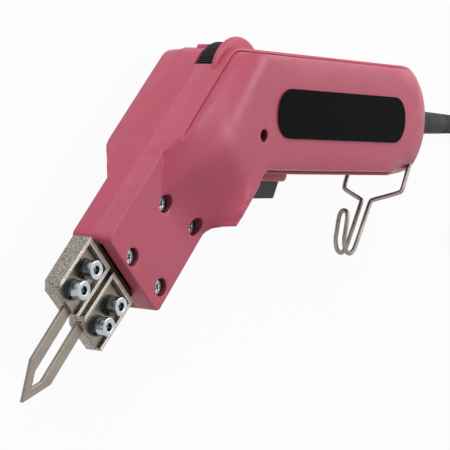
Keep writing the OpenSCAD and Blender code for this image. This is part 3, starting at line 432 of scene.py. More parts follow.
# Rectangle of half width, half height and corner radius
def soft_rectangle(wide, tall, radius, steps=6):
    out = []
    for k, (x, y) in enumerate(((1, 1), (-1, 1), (-1, -1), (1, -1))):
        for i in range(steps + 1):
            a = math.pi / 2 * (k + i / steps)
            out.append((x * (wide - radius) + radius * math.cos(a),
                        y * (tall - radius) + radius * math.sin(a)))
    return out


# Arc that rounds the corner b, an (x, y, radius), between its neighbours a and c
def corner_arc(a, b, c, steps):
    corner, radius = np.array(b[:2]), b[2]
    u = np.array(a[:2]) - corner
    v = np.array(c[:2]) - corner
    u, v = u / np.linalg.norm(u), v / np.linalg.norm(v)
    half = math.acos(max(-1, min(1, u.dot(v)))) / 2
    bisector = (u + v) / np.linalg.norm(u + v)
    middle = corner + bisector * radius / math.sin(half)
    start = corner + u * radius / math.tan(half) - middle
    first = math.atan2(start[1], start[0])
    swept = -math.copysign(1, u[0] * v[1] - u[1] * v[0]) * (math.pi - 2 * half)
    angles = [first + swept * k / steps for k in range(steps + 1)]
    return [middle + radius * np.array([math.cos(angle), math.sin(angle)]) for angle in angles]


# Closed line of rounded corners, with each straight stretch split
def rounded(corners, steps, splits):
    n = len(corners)
    arcs = [corner_arc(corners[i - 1], corners[i], corners[(i + 1) % n], steps) for i in range(n)]
    out = []
    for i, arc in enumerate(arcs):
        out.extend(arc)
        a, b = arc[-1], arcs[(i + 1) % n][0]
        out.extend([a + (b - a) * k / splits[i] for k in range(1, splits[i])])
    return np.array(out)


# Mains cord, on its solids' route: a lead down to the floor, two layers of turns, a tail
CORD_EXIT = 210.0
CORD_RADIUS = 3.4
CORD_LOW = 4.6
LEAD_BACK = [0, 7, 22, 37, 52, 67, 82, 90]
LEAD_SHARE = [1, 1, 0.856, 0.483, 0.167, 0.023, 0, 0]
COIL_BACK = 97
COIL_RADIUS = 52
COIL_PITCH = 7.6
COIL_LIFT = 7.4
COIL_TURNS = 6
COIL_STEPS = 60
TAIL_START = 104
TAIL_BACK = [0, 6, 14, 29, 44, 59, 74, 86, 93]
TAIL_SHARE = [1, 0.98, 0.9, 0.6, 0.28, 0.1, 0.02, 0, 0]
TAIL_DROP = 5
PLUG_HEIGHT = 7


def cord_route():
    lead = [(CORD_EXIT + back, 0, CORD_LOW + share * (LIFT - CORD_LOW))
            for back, share in zip(LEAD_BACK, LEAD_SHARE)]
    coil = []
    for k in range(COIL_TURNS * COIL_STEPS + 1):
        turn = k / COIL_STEPS
        r = COIL_RADIUS - COIL_PITCH * min(turn, COIL_TURNS - turn)
        a = 2 * math.pi * turn - math.pi / 2
        climb = min(max((turn - COIL_TURNS / 2) * 2 + 0.5, 0), 1)
        coil.append((CORD_EXIT + COIL_BACK + r * math.cos(a), -COIL_RADIUS - r * math.sin(a),
                     CORD_LOW + COIL_LIFT * climb))
    tail = [(CORD_EXIT + TAIL_START + back, 0, PLUG_HEIGHT + share * TAIL_DROP)
            for back, share in zip(TAIL_BACK, TAIL_SHARE)]
    return np.vstack([catmull(lead, 4), coil, catmull(tail, 4)])


def mains_cord(route):
    data = bpy.data.curves.new("mains_cord", "CURVE")
    data.dimensions = "3D"
    data.bevel_depth = CORD_RADIUS * MM
    data.bevel_resolution = 4
    data.use_fill_caps = True
    line = data.splines.new("POLY")
    line.points.add(len(route) - 1)
    for point, place in zip(line.points, route):
        point.co = (*place, 1)
    return dress(placed("mains_cord", data), "black_rubber")


# Stations of the plug's round neck: place and radius
PLUG_NECK, PLUG_GROOVE = 4.75, 4.2
NECK_START = [(0, 3.6), (0.3, 4.4), (0.9, PLUG_NECK)]
NECK_GROOVE = [(0, PLUG_NECK), (0.3, PLUG_GROOVE), (1.3, PLUG_GROOVE), (1.6, PLUG_NECK)]
NECK_GROOVES = [2.6 + 3.4 * k for k in range(3)]
NECK_END = [(13.2, PLUG_NECK)]
# Stations of its grip: place, half width, half height and corner radius
PLUG_GRIP = [(14.4, 6.0, 4.8, 4.4), (16.5, 7.7, 5.2, 4.0), (20, 9.9, 5.9, 3.6), (24, 11.6, 6.5, 3.2),
             (28, 12.4, 6.8, 3.0), (33, 12.5, 6.8, 3.0), (38, 13.0, 6.8, 3.0), (42, 14.4, 6.8, 2.8),
             (45, 16.4, 6.8, 2.6), (46.4, 17.0, 6.8, 2.4), (47.4, 16.9, 6.7, 2.3),
             (47.85, 16.5, 6.4, 2.1), (48, 16.0, 6.0, 1.8)]


# Plug at its end: a neck with three grooves, a flat grip and a wider face
def moulded_plug():
    low, high = solid_box("plug_body")
    mid_z = (low[2] + high[2]) / 2
    grooves = [(x + dx, r) for x in NECK_GROOVES for dx, r in NECK_GROOVE]
    stations = [(x, r, r, r) for x, r in NECK_START + grooves + NECK_END] + PLUG_GRIP
    sections = [[(low[0] + x, y, mid_z + z) for y, z in soft_rectangle(wide, tall, radius)]
                for x, wide, tall, radius in stations]
    plug = new_piece("moulded_plug", *loft(sections), "black_rubber", angle=40)
    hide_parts("plug_body")
    return plug


# Strap around the coil: half its thickness, the bends at its corners and its edges
STRAP_HALF, STRAP_BEND, STRAP_EDGE = 0.4, 3.6, 0.3


def cord_strap():
    low, high = solid_box("cord_tie")
    mid_y = (low[1] + high[1]) / 2
    x0, x1 = low[0] + STRAP_HALF, high[0] - STRAP_HALF
    z0, z1 = low[2] + STRAP_HALF, high[2] - STRAP_HALF
    corners = [(x, z, STRAP_BEND) for x, z in ((x0, z0), (x1, z0), (x1, z1), (x0, z1))]
    path = [(x, mid_y, z) for x, z in rounded(corners, 8, [6, 2, 6, 2])]
    section = soft_rectangle(STRAP_HALF, (high[1] - low[1]) / 2, STRAP_EDGE, 3)
    strap = new_piece("cord_strap", *sweep(path, section, True), "black_rubber", angle=50)
    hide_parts("cord_tie")
    return strap


route = cord_route() * MM
cord = mains_cord(route)
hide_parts("cord_lead", "cord_coil", "cord_tail")
moulded_plug()
cord_strap()

# Stage sizes are metres
FLOOR_HALF = 6
FLOOR_LOW = -0.0003
FLOOR_WHITE, FLOOR_ROUGH = 0.94, 0.9
FLOOR_TONES = (0.86, 0.88)
FLOOR_SCALE = 3
WORLD_LIGHT, WORLD_WHITE = 0.2, 1.0
LAMP_AIM = Vector((0.03, -0.01, 0.03))
# Direction from the aim, distance, width and watts
LAMPS = {
    "key_lamp": ((-0.42, 0.84, 0.44), 1.3, 0.9, 9.3),
    "sheen_lamp": ((0.5, 0.27, 0.82), 1.4, 0.6, 5.6),
    "side_lamp": ((0.74, 0.45, 0.5), 1.4, 0.7, 2),
    "fill_lamp": ((-0.7, -0.6, 0.2), 1.5, 1.0, 2)}


# Socket that is 1 for rays from the camera, straight, mirrored or through glass
def seen_rays(tree):
    rays = tree.nodes.new("ShaderNodeLightPath")
    seen = rays.outputs["Is Camera Ray"]
    for kind in ("Is Glossy Ray", "Is Transmission Ray"):
        add = tree.nodes.new("ShaderNodeMath")
        add.operation = "ADD"
        add.use_clamp = True
        tree.links.new(seen, add.inputs[0])
        tree.links.new(rays.outputs[kind], add.inputs[1])
        seen = add.outputs[0]
    return seen


# Floor that looks white to the camera and still takes the object's shadow
def floor_look():
    look = Look("floor_white")
    share = look.node("ShaderNodeMath", operation="MULTIPLY")
    share.inputs[1].default_value = FLOOR_WHITE
    look.link(seen_rays(look.tree), share.inputs[0])
    mix = look.node("ShaderNodeMixShader")
    look.link(share.outputs[0], mix.inputs[0])
    look.link(look.shader.outputs[0], mix.inputs[1])
    look.link(look.node("ShaderNodeEmission").outputs[0], mix.inputs[2])
    look.link(mix.outputs[0], look.tree.nodes["Material Output"].inputs["Surface"])
    stops = [(place, [tone] * 3) for place, tone in zip(NOISE_RANGE, FLOOR_TONES)]
    look.colour(look.ramp(look.noise(FLOOR_SCALE, 2), stops))
    put(look.shader, Roughness=FLOOR_ROUGH)
    return look


def white_floor():
    mesh = bpy.data.meshes.new("floor")
    corners = [(x * FLOOR_HALF, y * FLOOR_HALF, FLOOR_LOW) for x, y in ((-1, -1), (1, -1), (1, 1), (-1, 1))]
    mesh.from_pydata(corners, [], [(0, 1, 2, 3)])
    mesh.materials.append(floor_look().material)
    floor = placed("floor", mesh)


def white_world():
    surround = bpy.data.worlds.new("surround")
    surround.use_nodes = True
    scene.world = surround
    tree = surround.node_tree
    back = tree.nodes["Background"]
    put(back, Color=(1, 1, 1, 1))
    level = tree.nodes.new("ShaderNodeMapRange")
    put(level, To_Min=WORLD_LIGHT, To_Max=WORLD_WHITE)
    tree.links.new(seen_rays(tree), level.inputs["Value"])
    tree.links.new(level.outputs["Result"], back.inputs["Strength"])


def lamp(name, way, distance, size, watts):
    data = bpy.data.lights.new(name, "AREA")
    data.shape = "DISK"
    data.size = size
    data.energy = watts
    made = placed(name, data)
    made.location = LAMP_AIM + Vector(way).normalized() * distance
    made.rotation_euler = (LAMP_AIM - made.location).to_track_quat("-Z", "Y").to_euler()


white_floor()
white_world()
for name, row in LAMPS.items():
    lamp(name, *row)

# Edges of the body: the handle's along x and y, the head's along s and u, and the ledge under the grip
HANDLE_END = 155
HANDLE_HALF = 24.3
HEAD_END = 80.2
HEAD_FRONT = -15.4
NOSE_BACK = 26.5
HEAD_BACK = 29
LEDGE = -45
# Radii of its corners; one that is drawn in keeps the least radius
NOSE_CORNER, LEDGE_CORNER, BROW_CORNER = 3, 1.2, 9
REAR_LOW_CORNER, REAR_TOP_CORNER = 23, 18
LEDGE_HOLLOW, GRIP_HOLLOW = 2, 6
LEAST_CORNER = 0.3
# Parts of each straight stretch, in the corners' order
STRETCHES = [14, 24, 1, 6, 42, 5, 46, 32]
# Heights of the nose's face, of the rim and of the raised panel
NOSE, RIM, TOP = 9.0, 13.0, 22.0


# Where a line along the head at u crosses the height y
def on_head_line(u, y):
    return at_head(-(y + u * COS) / SIN, u)


# Outline of the body, drawn in by d, with each corner in so many steps
def outline(d, steps):
    def kept(radius):
        return max(radius - d, LEAST_CORNER)

    corners = [
        (*at_head(HEAD_END - d, HEAD_FRONT + d), kept(NOSE_CORNER)),
        (*at_head(HEAD_END - d, NOSE_BACK - d), kept(NOSE_CORNER)),
        (*on_head_line(NOSE_BACK - d, LEDGE + d), LEDGE_HOLLOW + d),
        (*on_head_line(HEAD_BACK - d, LEDGE + d), kept(LEDGE_CORNER)),
        (*on_head_line(HEAD_BACK - d, d - HANDLE_HALF), GRIP_HOLLOW + d),
        (HANDLE_END - d, d - HANDLE_HALF, kept(REAR_LOW_CORNER)),
        (HANDLE_END - d, HANDLE_HALF - d, kept(REAR_TOP_CORNER)),
        (*on_head_line(HEAD_FRONT + d, HANDLE_HALF - d), kept(BROW_CORNER))]
    return rounded(corners, steps, STRETCHES)


EDGE = outline(0, 14)


def edge_distance(p):
    a, b = EDGE, np.roll(EDGE, -1, axis=0)
    ab = b - a
    t = np.clip(((p[:, None, :] - a) * ab).sum(2) / (ab ** 2).sum(1), 0, 1)
    return np.linalg.norm(p[:, None, :] - (a + t[..., None] * ab), axis=2).min(1)


# Step from 0 to 1 as t goes from a to b
def smooth(a, b, t):
    t = np.clip((t - a) / (b - a), 0, 1)
    return t * t * (3 - 2 * t)


# The lower of two heights, blended where they differ by less than k
def soft_min(a, b, k):
    h = np.clip(0.5 + 0.5 * (b - a) / k, 0, 1)
    return b * (1 - h) + a * h - k * h * (1 - h)


# Foot of the label side's ramp: places along the head for places across it
FOOT_ACROSS = [-20, -14.3, -4.3, 12, 19, NOSE_BACK, 40]
FOOT_ALONG = [28.9, 36, 48.5, 50, 50, 41, 41]
# At the head's front edge it rises fast, then hardly
FRONT_RISE, FRONT_RUN, FRONT_SLOPE = 6.6, 7, 0.03
# Behind that it is a curve of this rise and run, and goes on past them at a slope
RAMP_RISE, RAMP_RUN, RAMP_PAST = 13.3, 37, 6
# Across the head the curve turns hollow, gets a little longer, and is short at the ledge
RAMP_START, START_FADES = 0.75, (-5, 14)
GRIP_LONGER, GRIP_GROWS = 3, (-2, 10)
LEDGE_SHORTER, LEDGE_GROWS = 33, (18, 29.6)
# Where the front edge's form goes over into the curve
BLEND_FROM, BLEND_RUN = -13.5, 23


def ramp_label(s, u):
    foot = np.interp(u, FOOT_ACROSS, FOOT_ALONG)
    climb = np.maximum(foot - s, 0)
    front = NOSE + FRONT_RISE * (1 - np.exp(-climb / FRONT_RUN)) + FRONT_SLOPE * climb
    start = RAMP_START * (1 - smooth(*START_FADES, u))
    run = RAMP_RUN + GRIP_LONGER * smooth(*GRIP_GROWS, u) - LEDGE_SHORTER * smooth(*LEDGE_GROWS, u)
    share = climb / run
    c = np.minimum(share, 1)
    curve = start * c + (3 - 2 * start) * c ** 2 + (start - 2) * c ** 3
    middle = NOSE + RAMP_RISE * curve + RAMP_PAST * np.maximum(share - 1, 0)
    w = np.clip((u - BLEND_FROM) / BLEND_RUN, 0, 1)
    blend = 1.5 * w - 0.5 * w ** 3
    return np.where(foot > s, (1 - blend) * front + blend * middle, NOSE)


# The back side's ramp is a plain one
BACK_FOOT, BACK_RUN = 51, 20


def ramp_back(s, u):
    climb = BACK_FOOT - s
    return np.where(climb < 0, NOSE, NOSE + (TOP - NOSE) * climb / BACK_RUN)


# Rear end of the handle, a rounded cap
REAR_START, REAR_RADIUS = 126, 29.2
REAR_LOW, REAR_RISE = 4.5, 17.7
REAR_FLAT, REAR_TURNS = 1, (0, 12)


def rear_cap(x, y):
    along = np.maximum(x - REAR_START, 0)
    across = np.maximum(np.abs(y) - REAR_FLAT, 0) * smooth(*REAR_TURNS, along)
    share = np.hypot(along, across) / REAR_RADIUS
    return REAR_LOW + REAR_RISE * np.sqrt(np.clip(1 - share ** 2, 0, 1))


# The panel is crowned along the handle, and falls away at the two rear corners, more at the lower one
CROWN_FLAT, CROWN_RUN, CROWN_DROP, CROWN_GROWS = 11.5, 12.8, 2.3, (0, 40)
CORNER_DROP, LOWER_DROP, LOWER_GROWS = 9, 4, (0, 8)
CORNER_FROM, CORNER_TO, LOWER_AHEAD = 112, 142, 4


def crowned_panel(x, y):
    past = np.maximum(np.abs(y) - CROWN_FLAT, 0) / CROWN_RUN
    crown = TOP - CROWN_DROP * past ** 2 * smooth(*CROWN_GROWS, x)
    lower = smooth(*LOWER_GROWS, -y)
    ahead = LOWER_AHEAD * lower
    fall = (CORNER_DROP + LOWER_DROP * lower) * smooth(CORNER_FROM - ahead, CORNER_TO - ahead, x)
    return crown - fall * (np.abs(y) / HANDLE_HALF) ** 4


# Side of the panel, e in from its foot: a steep wall and a rounded edge
PANEL_WALL, PANEL_ROUND = 0.45, 2.7


def panel_side(e):
    shoulder = TOP - PANEL_ROUND
    wall_height = RIM + (shoulder - RIM) * np.clip(e / PANEL_WALL, 0, 1)
    out = np.clip(PANEL_WALL + PANEL_ROUND - e, 0, PANEL_ROUND) / PANEL_ROUND
    edge_height = shoulder + PANEL_ROUND * np.sqrt(np.clip(1 - out ** 2, 0, 1))
    return np.where(e < PANEL_WALL, wall_height, edge_height)


# From the outside in: a softened edge, the rim, the groove on the label side, the panel's side
EDGE_ROUND, EDGE_DROP = 0.4, 0.3
GROOVE_PLACE, GROOVE_HALF = 1.22, 0.24
GROOVED_INSET, PLAIN_INSET, BARE_LESS = 1.45, 0.4, 1.1
# The groove needs a panel above the rim, is shallow on the handle, and runs out before the rear end
GROOVE_DEEP, GROOVE_LESS = 0.6, 0.45
GROOVE_NEEDS, GROOVE_FADES, GROOVE_ENDS = (0.3, 1.6), (15, 60), (118, 138)
# Rim and groove fade out below the handle, on the grip side of the head
BARE_BELOW, BARE_ACROSS = (25.5, 29), (6, 14)
# Widths over which the ramp, the rear cap and the panel's side blend into the rest
RAMP_BLEND, REAR_BLEND, SIDE_BLEND = 2.2, 2.0, 0.9
# Ahead of this place nothing is lower than the nose's face
NOSE_UNTIL = 100


# Height of the outside at points p, which lie d in from the outline
def skin_height(p, d, ramp, grooved):
    x, y = p[:, 0], p[:, 1]
    s = -x * COS - y * SIN
    u = x * SIN - y * COS
    rise = ramp(s, u)
    body = soft_min(soft_min(rise, crowned_panel(x, y), RAMP_BLEND), rear_cap(x, y), REAR_BLEND)
    body = np.where(rise <= NOSE + 1e-6, NOSE, np.maximum(body, NOSE * (x < NOSE_UNTIL)))
    bare = smooth(*BARE_BELOW, -y) * smooth(*BARE_ACROSS, u)
    inset = GROOVED_INSET - BARE_LESS * bare if grooved else PLAIN_INSET
    side = soft_min(panel_side(d - inset), body, SIDE_BLEND)
    panel = np.where(body > RIM, np.minimum(side, body), body)
    depth = GROOVE_DEEP - GROOVE_LESS * smooth(*GROOVE_FADES, x)
    depth = smooth(*GROOVE_NEEDS, body - RIM) * depth * (1 - smooth(*GROOVE_ENDS, x))
    dip = np.clip(1 - np.abs(d - GROOVE_PLACE) / GROOVE_HALF, 0, 1) * grooved * (1 - bare)
    z = np.where(d > inset, panel, np.minimum(body, RIM) - depth * dip)
    return z - EDGE_DROP * np.clip(1 - d / EDGE_ROUND, 0, 1) ** 1.5


# Wells of the screws: place along and across the head, and radius
SCREW_WELL, SMALL_WELL = 3.45, 2.5
WELLS = [(49.0, 0.0, SCREW_WELL), (42.7, 19.8, SCREW_WELL), (75.4, 0.0, SCREW_WELL),
         (72.0, 21.0, SCREW_WELL), (-1.44, 14.9, SMALL_WELL)]
SEAT = 4.8
# Their edges are rounded by this width and depth, with one more ring of points between
WELL_ROUND, WELL_SINK, WELL_BETWEEN = 0.45, 0.32, 0.2
WELL_SIDES = 40
# Distances in from the outline of the loops that the skin and the room are built on
SKIN_LOOPS = (0, 0.15, 0.4, 0.98, 1.1, 1.22, 1.34, 1.46, 1.7, 1.92, 2.3, 2.9, 3.7, 4.6)
WALL = 2.5
ROOM_LOOPS = (WALL, 3.6, 4.4, 5.4, 7.0)
# Steps between the points inside the loops, and how far the skin's stay off a well
SKIN_STEP, ROOM_STEP, SKIN_CLEAR = 2.0, 5.0, 0.9
ROW_SHARE = 0.866
# Height and width of the bevel at the parting plane
JOINT_HIGH, JOINT_WIDE = 0.28, 0.14


def inside(points, loop):
    x, y = points[:, 0], points[:, 1]
    hit = np.zeros(len(points), bool)
    for (ax, ay), (bx, by) in zip(loop, np.roll(loop, -1, axis=0)):
        if ay != by:
            hit ^= ((ay > y) != (by > y)) & (x < (bx - ax) * (y - ay) / (by - ay) + ax)
    return hit


# Points in rows of triangles that fill a loop, clear of the wells
def grid(loop, step, wells, clear):
    low, high = loop.min(0), loop.max(0)
    rows = []
    for j, y in enumerate(np.arange(low[1], high[1], step * ROW_SHARE)):
        xs = np.arange(low[0] + (step / 2 if j % 2 else 0), high[0], step)
        rows.append(np.column_stack([xs, np.full_like(xs, y)]))
    p = np.vstack(rows)
    p = p[inside(p, loop)]
    for s, u, r in wells:
        p = p[np.linalg.norm(p - np.array(at_head(s, u)), axis=1) > r + clear]
    return p


def add_line(points, edges, line, closed=True):
    base, n = len(points), len(line)
    points.extend(line)
    edges.extend([(base + i, base + (i + 1) % n) for i in range(n if closed else n - 1)])


# Outlines drawn in by several distances, with all their points and edges
def nested(distances, steps):
    loops = [outline(d, steps) for d in distances]
    points, edges = [], []
    for loop in loops:
        add_line(points, edges, loop)
    return loops, points, edges


# Flat triangles over points, edges and the border that the first points make
def triangulated(points, edges, border):
    faces_within_border, least = 1, 1e-5
    flat, _, faces, _, _, _ = delaunay_2d_cdt([Vector(p) for p in points], edges, [list(range(border))],
                                              faces_within_border, least)
    return np.array([tuple(v) for v in flat]), faces


def raised(flat, heights, faces):
    bm = bmesh.new()
    made = [bm.verts.new(v) for v in np.column_stack([flat, heights])]
    for face in faces:
        bm.faces.new([made[i] for i in face])
    bmesh.ops.delete(bm, geom=[v for v in bm.verts if not v.link_faces], context="VERTS")
    return bm


def open_loops(bm):
    left = dict.fromkeys(e for e in bm.edges if len(e.link_faces) == 1)
    out = []
    while left:
        edge = next(iter(left))
        del left[edge]
        loop = [edge.verts[0], edge.verts[1]]
        while loop[-1] is not loop[0]:
            edge = next(e for e in loop[-1].link_edges if e in left)
            del left[edge]
            loop.append(edge.other_vert(loop[-1]))
        out.append(loop[:-1])
    return out


# Wall from an open loop through levels, each an inset and a height, with a face at its end
def wall(bm, loop, levels):
    n = len(loop)
    flat = np.array([v.co.xy[:] for v in loop])
    following, preceding = np.roll(flat, -1, axis=0), np.roll(flat, 1, axis=0)
    t = following - preceding
    normal = np.column_stack([-t[:, 1], t[:, 0]]) / np.linalg.norm(t, axis=1)[:, None]
    if (flat[:, 0] * following[:, 1] - flat[:, 1] * following[:, 0]).sum() < 0:
        normal = -normal
    ring = loop
    for inset, height in levels:
        new = [bm.verts.new((*place, height)) for place in flat + normal * inset]
        for i in range(n):
            j = (i + 1) % n
            bm.faces.new([ring[i], ring[j], new[j], new[i]])
        ring = new
    bm.faces.new(ring)


# Outside of a half, solid down to the parting plane, where a fine bevel shows the joint
def skin(ramp, wells, crease):
    loops, points, edges = nested(SKIN_LOOPS, 10)
    angles = np.linspace(0, 2 * math.pi, WELL_SIDES, endpoint=False)
    for s, u, r in wells:
        centre = np.array(at_head(s, u))
        for grow in (WELL_ROUND, WELL_BETWEEN, 0.0):
            ring = [centre + (r + grow) * np.array([math.cos(a), math.sin(a)]) for a in angles]
            add_line(points, edges, ring)
    add_line(points, edges, [np.array(at_head(s, u)) for s, u in crease], closed=False)
    points.extend(grid(loops[-1], SKIN_STEP, wells, SKIN_CLEAR))
    flat, faces = triangulated(points, edges, len(loops[0]))
    heights = skin_height(flat, edge_distance(flat), ramp, ramp is ramp_label)
    middles = np.array([flat[list(f)].mean(0) for f in faces])
    hole = np.zeros(len(faces), bool)
    sunk = np.zeros(len(flat))
    for s, u, r in wells:
        centre = np.array(at_head(s, u))
        hole |= np.linalg.norm(middles - centre, axis=1) < r * 0.998
        near = np.clip((r + WELL_ROUND - np.linalg.norm(flat - centre, axis=1)) / WELL_ROUND, 0, 1)
        sunk = np.maximum(sunk, WELL_SINK * (1 - np.sqrt(1 - near ** 2)))
    bm = raised(flat, heights - sunk, [f for f, gone in zip(faces, hole) if not gone])
    for loop in open_loops(bm):
        middle = sum((v.co for v in loop), Vector()) / len(loop)
        size = max((v.co.xy - middle.xy).length for v in loop)
        is_well = size < 2 * SCREW_WELL
        wall(bm, loop, [(0, SEAT)] if is_well else [(0, JOINT_HIGH), (JOINT_WIDE, 0.0)])
    bmesh.ops.recalc_face_normals(bm, faces=bm.faces)
    return bm


# Room inside a half, open through the parting plane
def room(ramp):
    loops, points, edges = nested(ROOM_LOOPS, 5)
    points.extend(grid(loops[-1], ROOM_STEP, [], 0))
    flat, faces = triangulated(points, edges, len(loops[0]))
    under = np.maximum(edge_distance(flat) - WALL, 0.5)
    bm = raised(flat, skin_height(flat, under, ramp, False) - WALL, faces)
    for loop in open_loops(bm):
        wall(bm, loop, [(0, -1.0)])
    bmesh.ops.recalc_face_normals(bm, faces=bm.faces)
    return bm


# Object for a boolean, from a bmesh or from points and faces
def scratch(name, source):
    mesh = bpy.data.meshes.new(name)
    bm = source
    if not isinstance(source, bmesh.types.BMesh):
        points, faces = source
        mesh.from_pydata([tuple(v) for v in points], [], faces)
        bm = bmesh.new()
        bm.from_mesh(mesh)
        bmesh.ops.recalc_face_normals(bm, faces=bm.faces)
    bm.to_mesh(mesh)
    bm.free()
    return placed(name, mesh)


def cut(target, tool, way="DIFFERENCE"):
    modifier = target.modifiers.new("cut", "BOOLEAN")
    modifier.operation = way
    modifier.solver = "MANIFOLD"
    modifier.object = tool
    evaluated = target.evaluated_get(bpy.context.evaluated_depsgraph_get())
    made = bpy.data.meshes.new_from_object(evaluated)
    target.modifiers.clear()
    old = target.data
    target.data = made
    bpy.data.meshes.remove(old)
    bpy.data.objects.remove(tool)


# Block between two corners, in the handle's axes or the head's
def block(a, b, turned=False):
    (x0, y0, z0), (x1, y1, z1) = a, b
    p = [(x, y, z) for z in (z0, z1) for x, y in ((x0, y0), (x1, y0), (x1, y1), (x0, y1))]
    if turned:
        p = [(*at_head(s, u), z) for s, u, z in p]
    return p, [(3, 2, 1, 0), (4, 5, 6, 7), (0, 1, 5, 4), (1, 2, 6, 5), (2, 3, 7, 6), (3, 0, 4, 7)]


# Axes of the thumb wheel and of the hook, and the wheel's slot in the two halves
DIAL = (9.3, 12.6)
HOOK = (139.965, -14.993)
SLOT_RADIUS, SLOT_LABEL, SLOT_BACK = 14.9, 7.4, 1.6

# Guard fin beside the wheel, a disc with a round rim
FIN_RADIUS, FIN_ROUND, FIN_HALF, FIN_BORE = 16.3, 1.1, 1.25, 3.4


def guard_fin():
    middle = SLOT_LABEL + FIN_HALF
    rim = [(FIN_RADIUS - FIN_ROUND * (1 - math.cos(a)), middle + FIN_HALF * math.sin(a))
           for a in np.linspace(-math.pi / 2, math.pi / 2, 9)]
    profile = [(FIN_BORE, SLOT_LABEL)] + rim + [(FIN_BORE, middle + FIN_HALF)]
    return lathe(profile, 96, (*DIAL, 0))


# Half of the lip around the trigger; each row is an inset and a height
LIP_FRONT, LIP_REAR, LIP_LOW, LIP_TOP = 22.6, 52.3, -27.6, -20
LIP_CORNER, LIP_HIDDEN_CORNER = 2.2, 0.4
LIP_ROWS = [(0.0, 0.0), (0.0, 5.4), (0.25, 6.15), (0.8, 6.6)]


def lip_half():
    sections = []
    for inset, z in LIP_ROWS:
        front, rear, low = LIP_FRONT + inset, LIP_REAR - inset, LIP_LOW + inset
        corners = [(front, low, LIP_CORNER), (rear, low, LIP_CORNER),
                   (rear, LIP_TOP, LIP_HIDDEN_CORNER), (front, LIP_TOP, LIP_HIDDEN_CORNER)]
        sections.append([(x, y, z) for x, y in rounded(corners, 6, [8, 2, 8, 2])])
    return loft(sections)


# Low bump on the brow beside the wheel; each row is an inset and a height along y
BUMP_MIDDLE, BUMP_HALF, BUMP_FAR = DIAL[0] - 0.5, 5.15, 6.6
BUMP_ROWS = [(0.0, 20.0), (0.0, 24.9), (0.25, 25.4), (0.7, 25.6)]


def brow_bump():
    sections = []
    for inset, y in BUMP_ROWS:
        front, rear = BUMP_MIDDLE - BUMP_HALF + inset, BUMP_MIDDLE + BUMP_HALF - inset
        far = BUMP_FAR - inset
        sections.append([(front, y, SLOT_BACK), (rear, y, SLOT_BACK), (rear, y, far), (front, y, far)])
    return loft(sections)


# Openings of both halves: corners of blocks, and radius and ends of the bore at the rear
TRIGGER_OPENING = ((25.7, -29, -1), (48.8, -20.8, 5.3))
NOSE_OPENING = ((77.0, -12.2, -1), (81.2, 13.8, 4.3))
HOOK_SLIT = ((HOOK[0] - 11.5, -25.3, 13.8), (HOOK[0] + 2, HOOK[1] - 2, 16.4))
REAR_BORE, REAR_BORE_ENDS = 4.9, (145, 157)
# Posts that the screws stand in, and the ends of tools that cut right through
POST_WALL, POST_TOP, THROUGH = 1.1, 24, -2.0


# The room of a half, less the posts of the screws
def hollow(ramp):
    made = scratch("room", room(ramp))
    for s, u, r in WELLS:
        post = [(r + POST_WALL, THROUGH), (r + POST_WALL, POST_TOP)]
        cut(made, scratch("post", lathe(post, 32, (*at_head(s, u), 0))))
    return made


# Mark on the faces in the wells, which take a painted shade
def mark_well_shade(half, wells):
    shade_mark = half.data.attributes.new(WELL_SHADE_MARK, "FLOAT", "FACE")
    for face in half.data.polygons:
        x, y, z = face.center / MM
        sunk = [math.dist((x, y), at_head(s, u)) < r * 0.999 and z - LIFT > SEAT - 0.1 for s, u, r in wells]
        shade_mark.data[face.index].value = float(any(sunk))


# A half of the body, built as the upper one and turned over where it is the back one
def shell(name, ramp, wells, crease, label):
    half = scratch(name, skin(ramp, wells, crease))
    cut(half, scratch("lip", lip_half()), "UNION")
    cut(half, scratch("beside_wheel", guard_fin() if label else brow_bump()), "UNION")
    cut(half, hollow(ramp))
    slot = [(SLOT_RADIUS, THROUGH), (SLOT_RADIUS, SLOT_LABEL if label else SLOT_BACK)]
    cut(half, scratch("slot", lathe(slot, 128, (*DIAL, 0))))
    cut(half, scratch("opening", block(*TRIGGER_OPENING)))
    cut(half, scratch("nose", block(*NOSE_OPENING, True)))
    cut(half, scratch("rear", lathe([(REAR_BORE, x) for x in REAR_BORE_ENDS], 48, (0, 0, 0), "x")))
    cut(half, scratch("slit", block(*HOOK_SLIT)))
    mesh = half.data
    points = np.empty(len(mesh.vertices) * 3)
    mesh.vertices.foreach_get("co", points)
    points = points.reshape(-1, 3)
    if not label:
        points[:, 2] = -points[:, 2]
        mesh.flip_normals()
    mesh.vertices.foreach_set("co", world(points).ravel())
    mesh.update()
    dress(half, "rose_plastic", angle=34)
    # The faces in the wells get their painted shade
    mark_well_shade(half, wells)
    return half


# The crease at the foot of the label side's ramp, by the head's front edge
CREASE = [(37, -13.6), (44, -8), (48.5, -4.3)]
label_half = shell("moulded_label_half", ramp_label, WELLS, CREASE, True)
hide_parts("label_side_shell")
back_half = shell("moulded_back_half", ramp_back, [], [], False)
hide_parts("back_shell")


# Thumb wheel: radii and heights of its profile, with fine ridges across the rows of its tread
WHEEL_PROFILE = [(3.2, -0.9), (12.0, -0.9), (13.3, -0.9), (13.9, -0.55), (14.2, -0.1), (14.2, 5.9),
                 (13.9, 6.35), (13.3, 6.7), (12.0, 6.7), (11.2, 6.2), (5.6, 6.2), (5.2, 6.7), (3.2, 6.7)]
TREAD_ROWS = (3, 4, 5, 6)
RIDGE_DEPTH, RIDGE_SIDES, RIDGES = 0.32, 4, 96


def ridged(row, side):
    return -RIDGE_DEPTH if row in TREAD_ROWS and side % RIDGE_SIDES < RIDGE_SIDES / 2 else 0


wheel_mesh = lathe(WHEEL_PROFILE, RIDGES * RIDGE_SIDES, (*DIAL, 0), "z", ridged)
wheel = new_piece("ridged_wheel", *wheel_mesh, "black_plastic", "dial", 28)
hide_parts("dial_wheel")

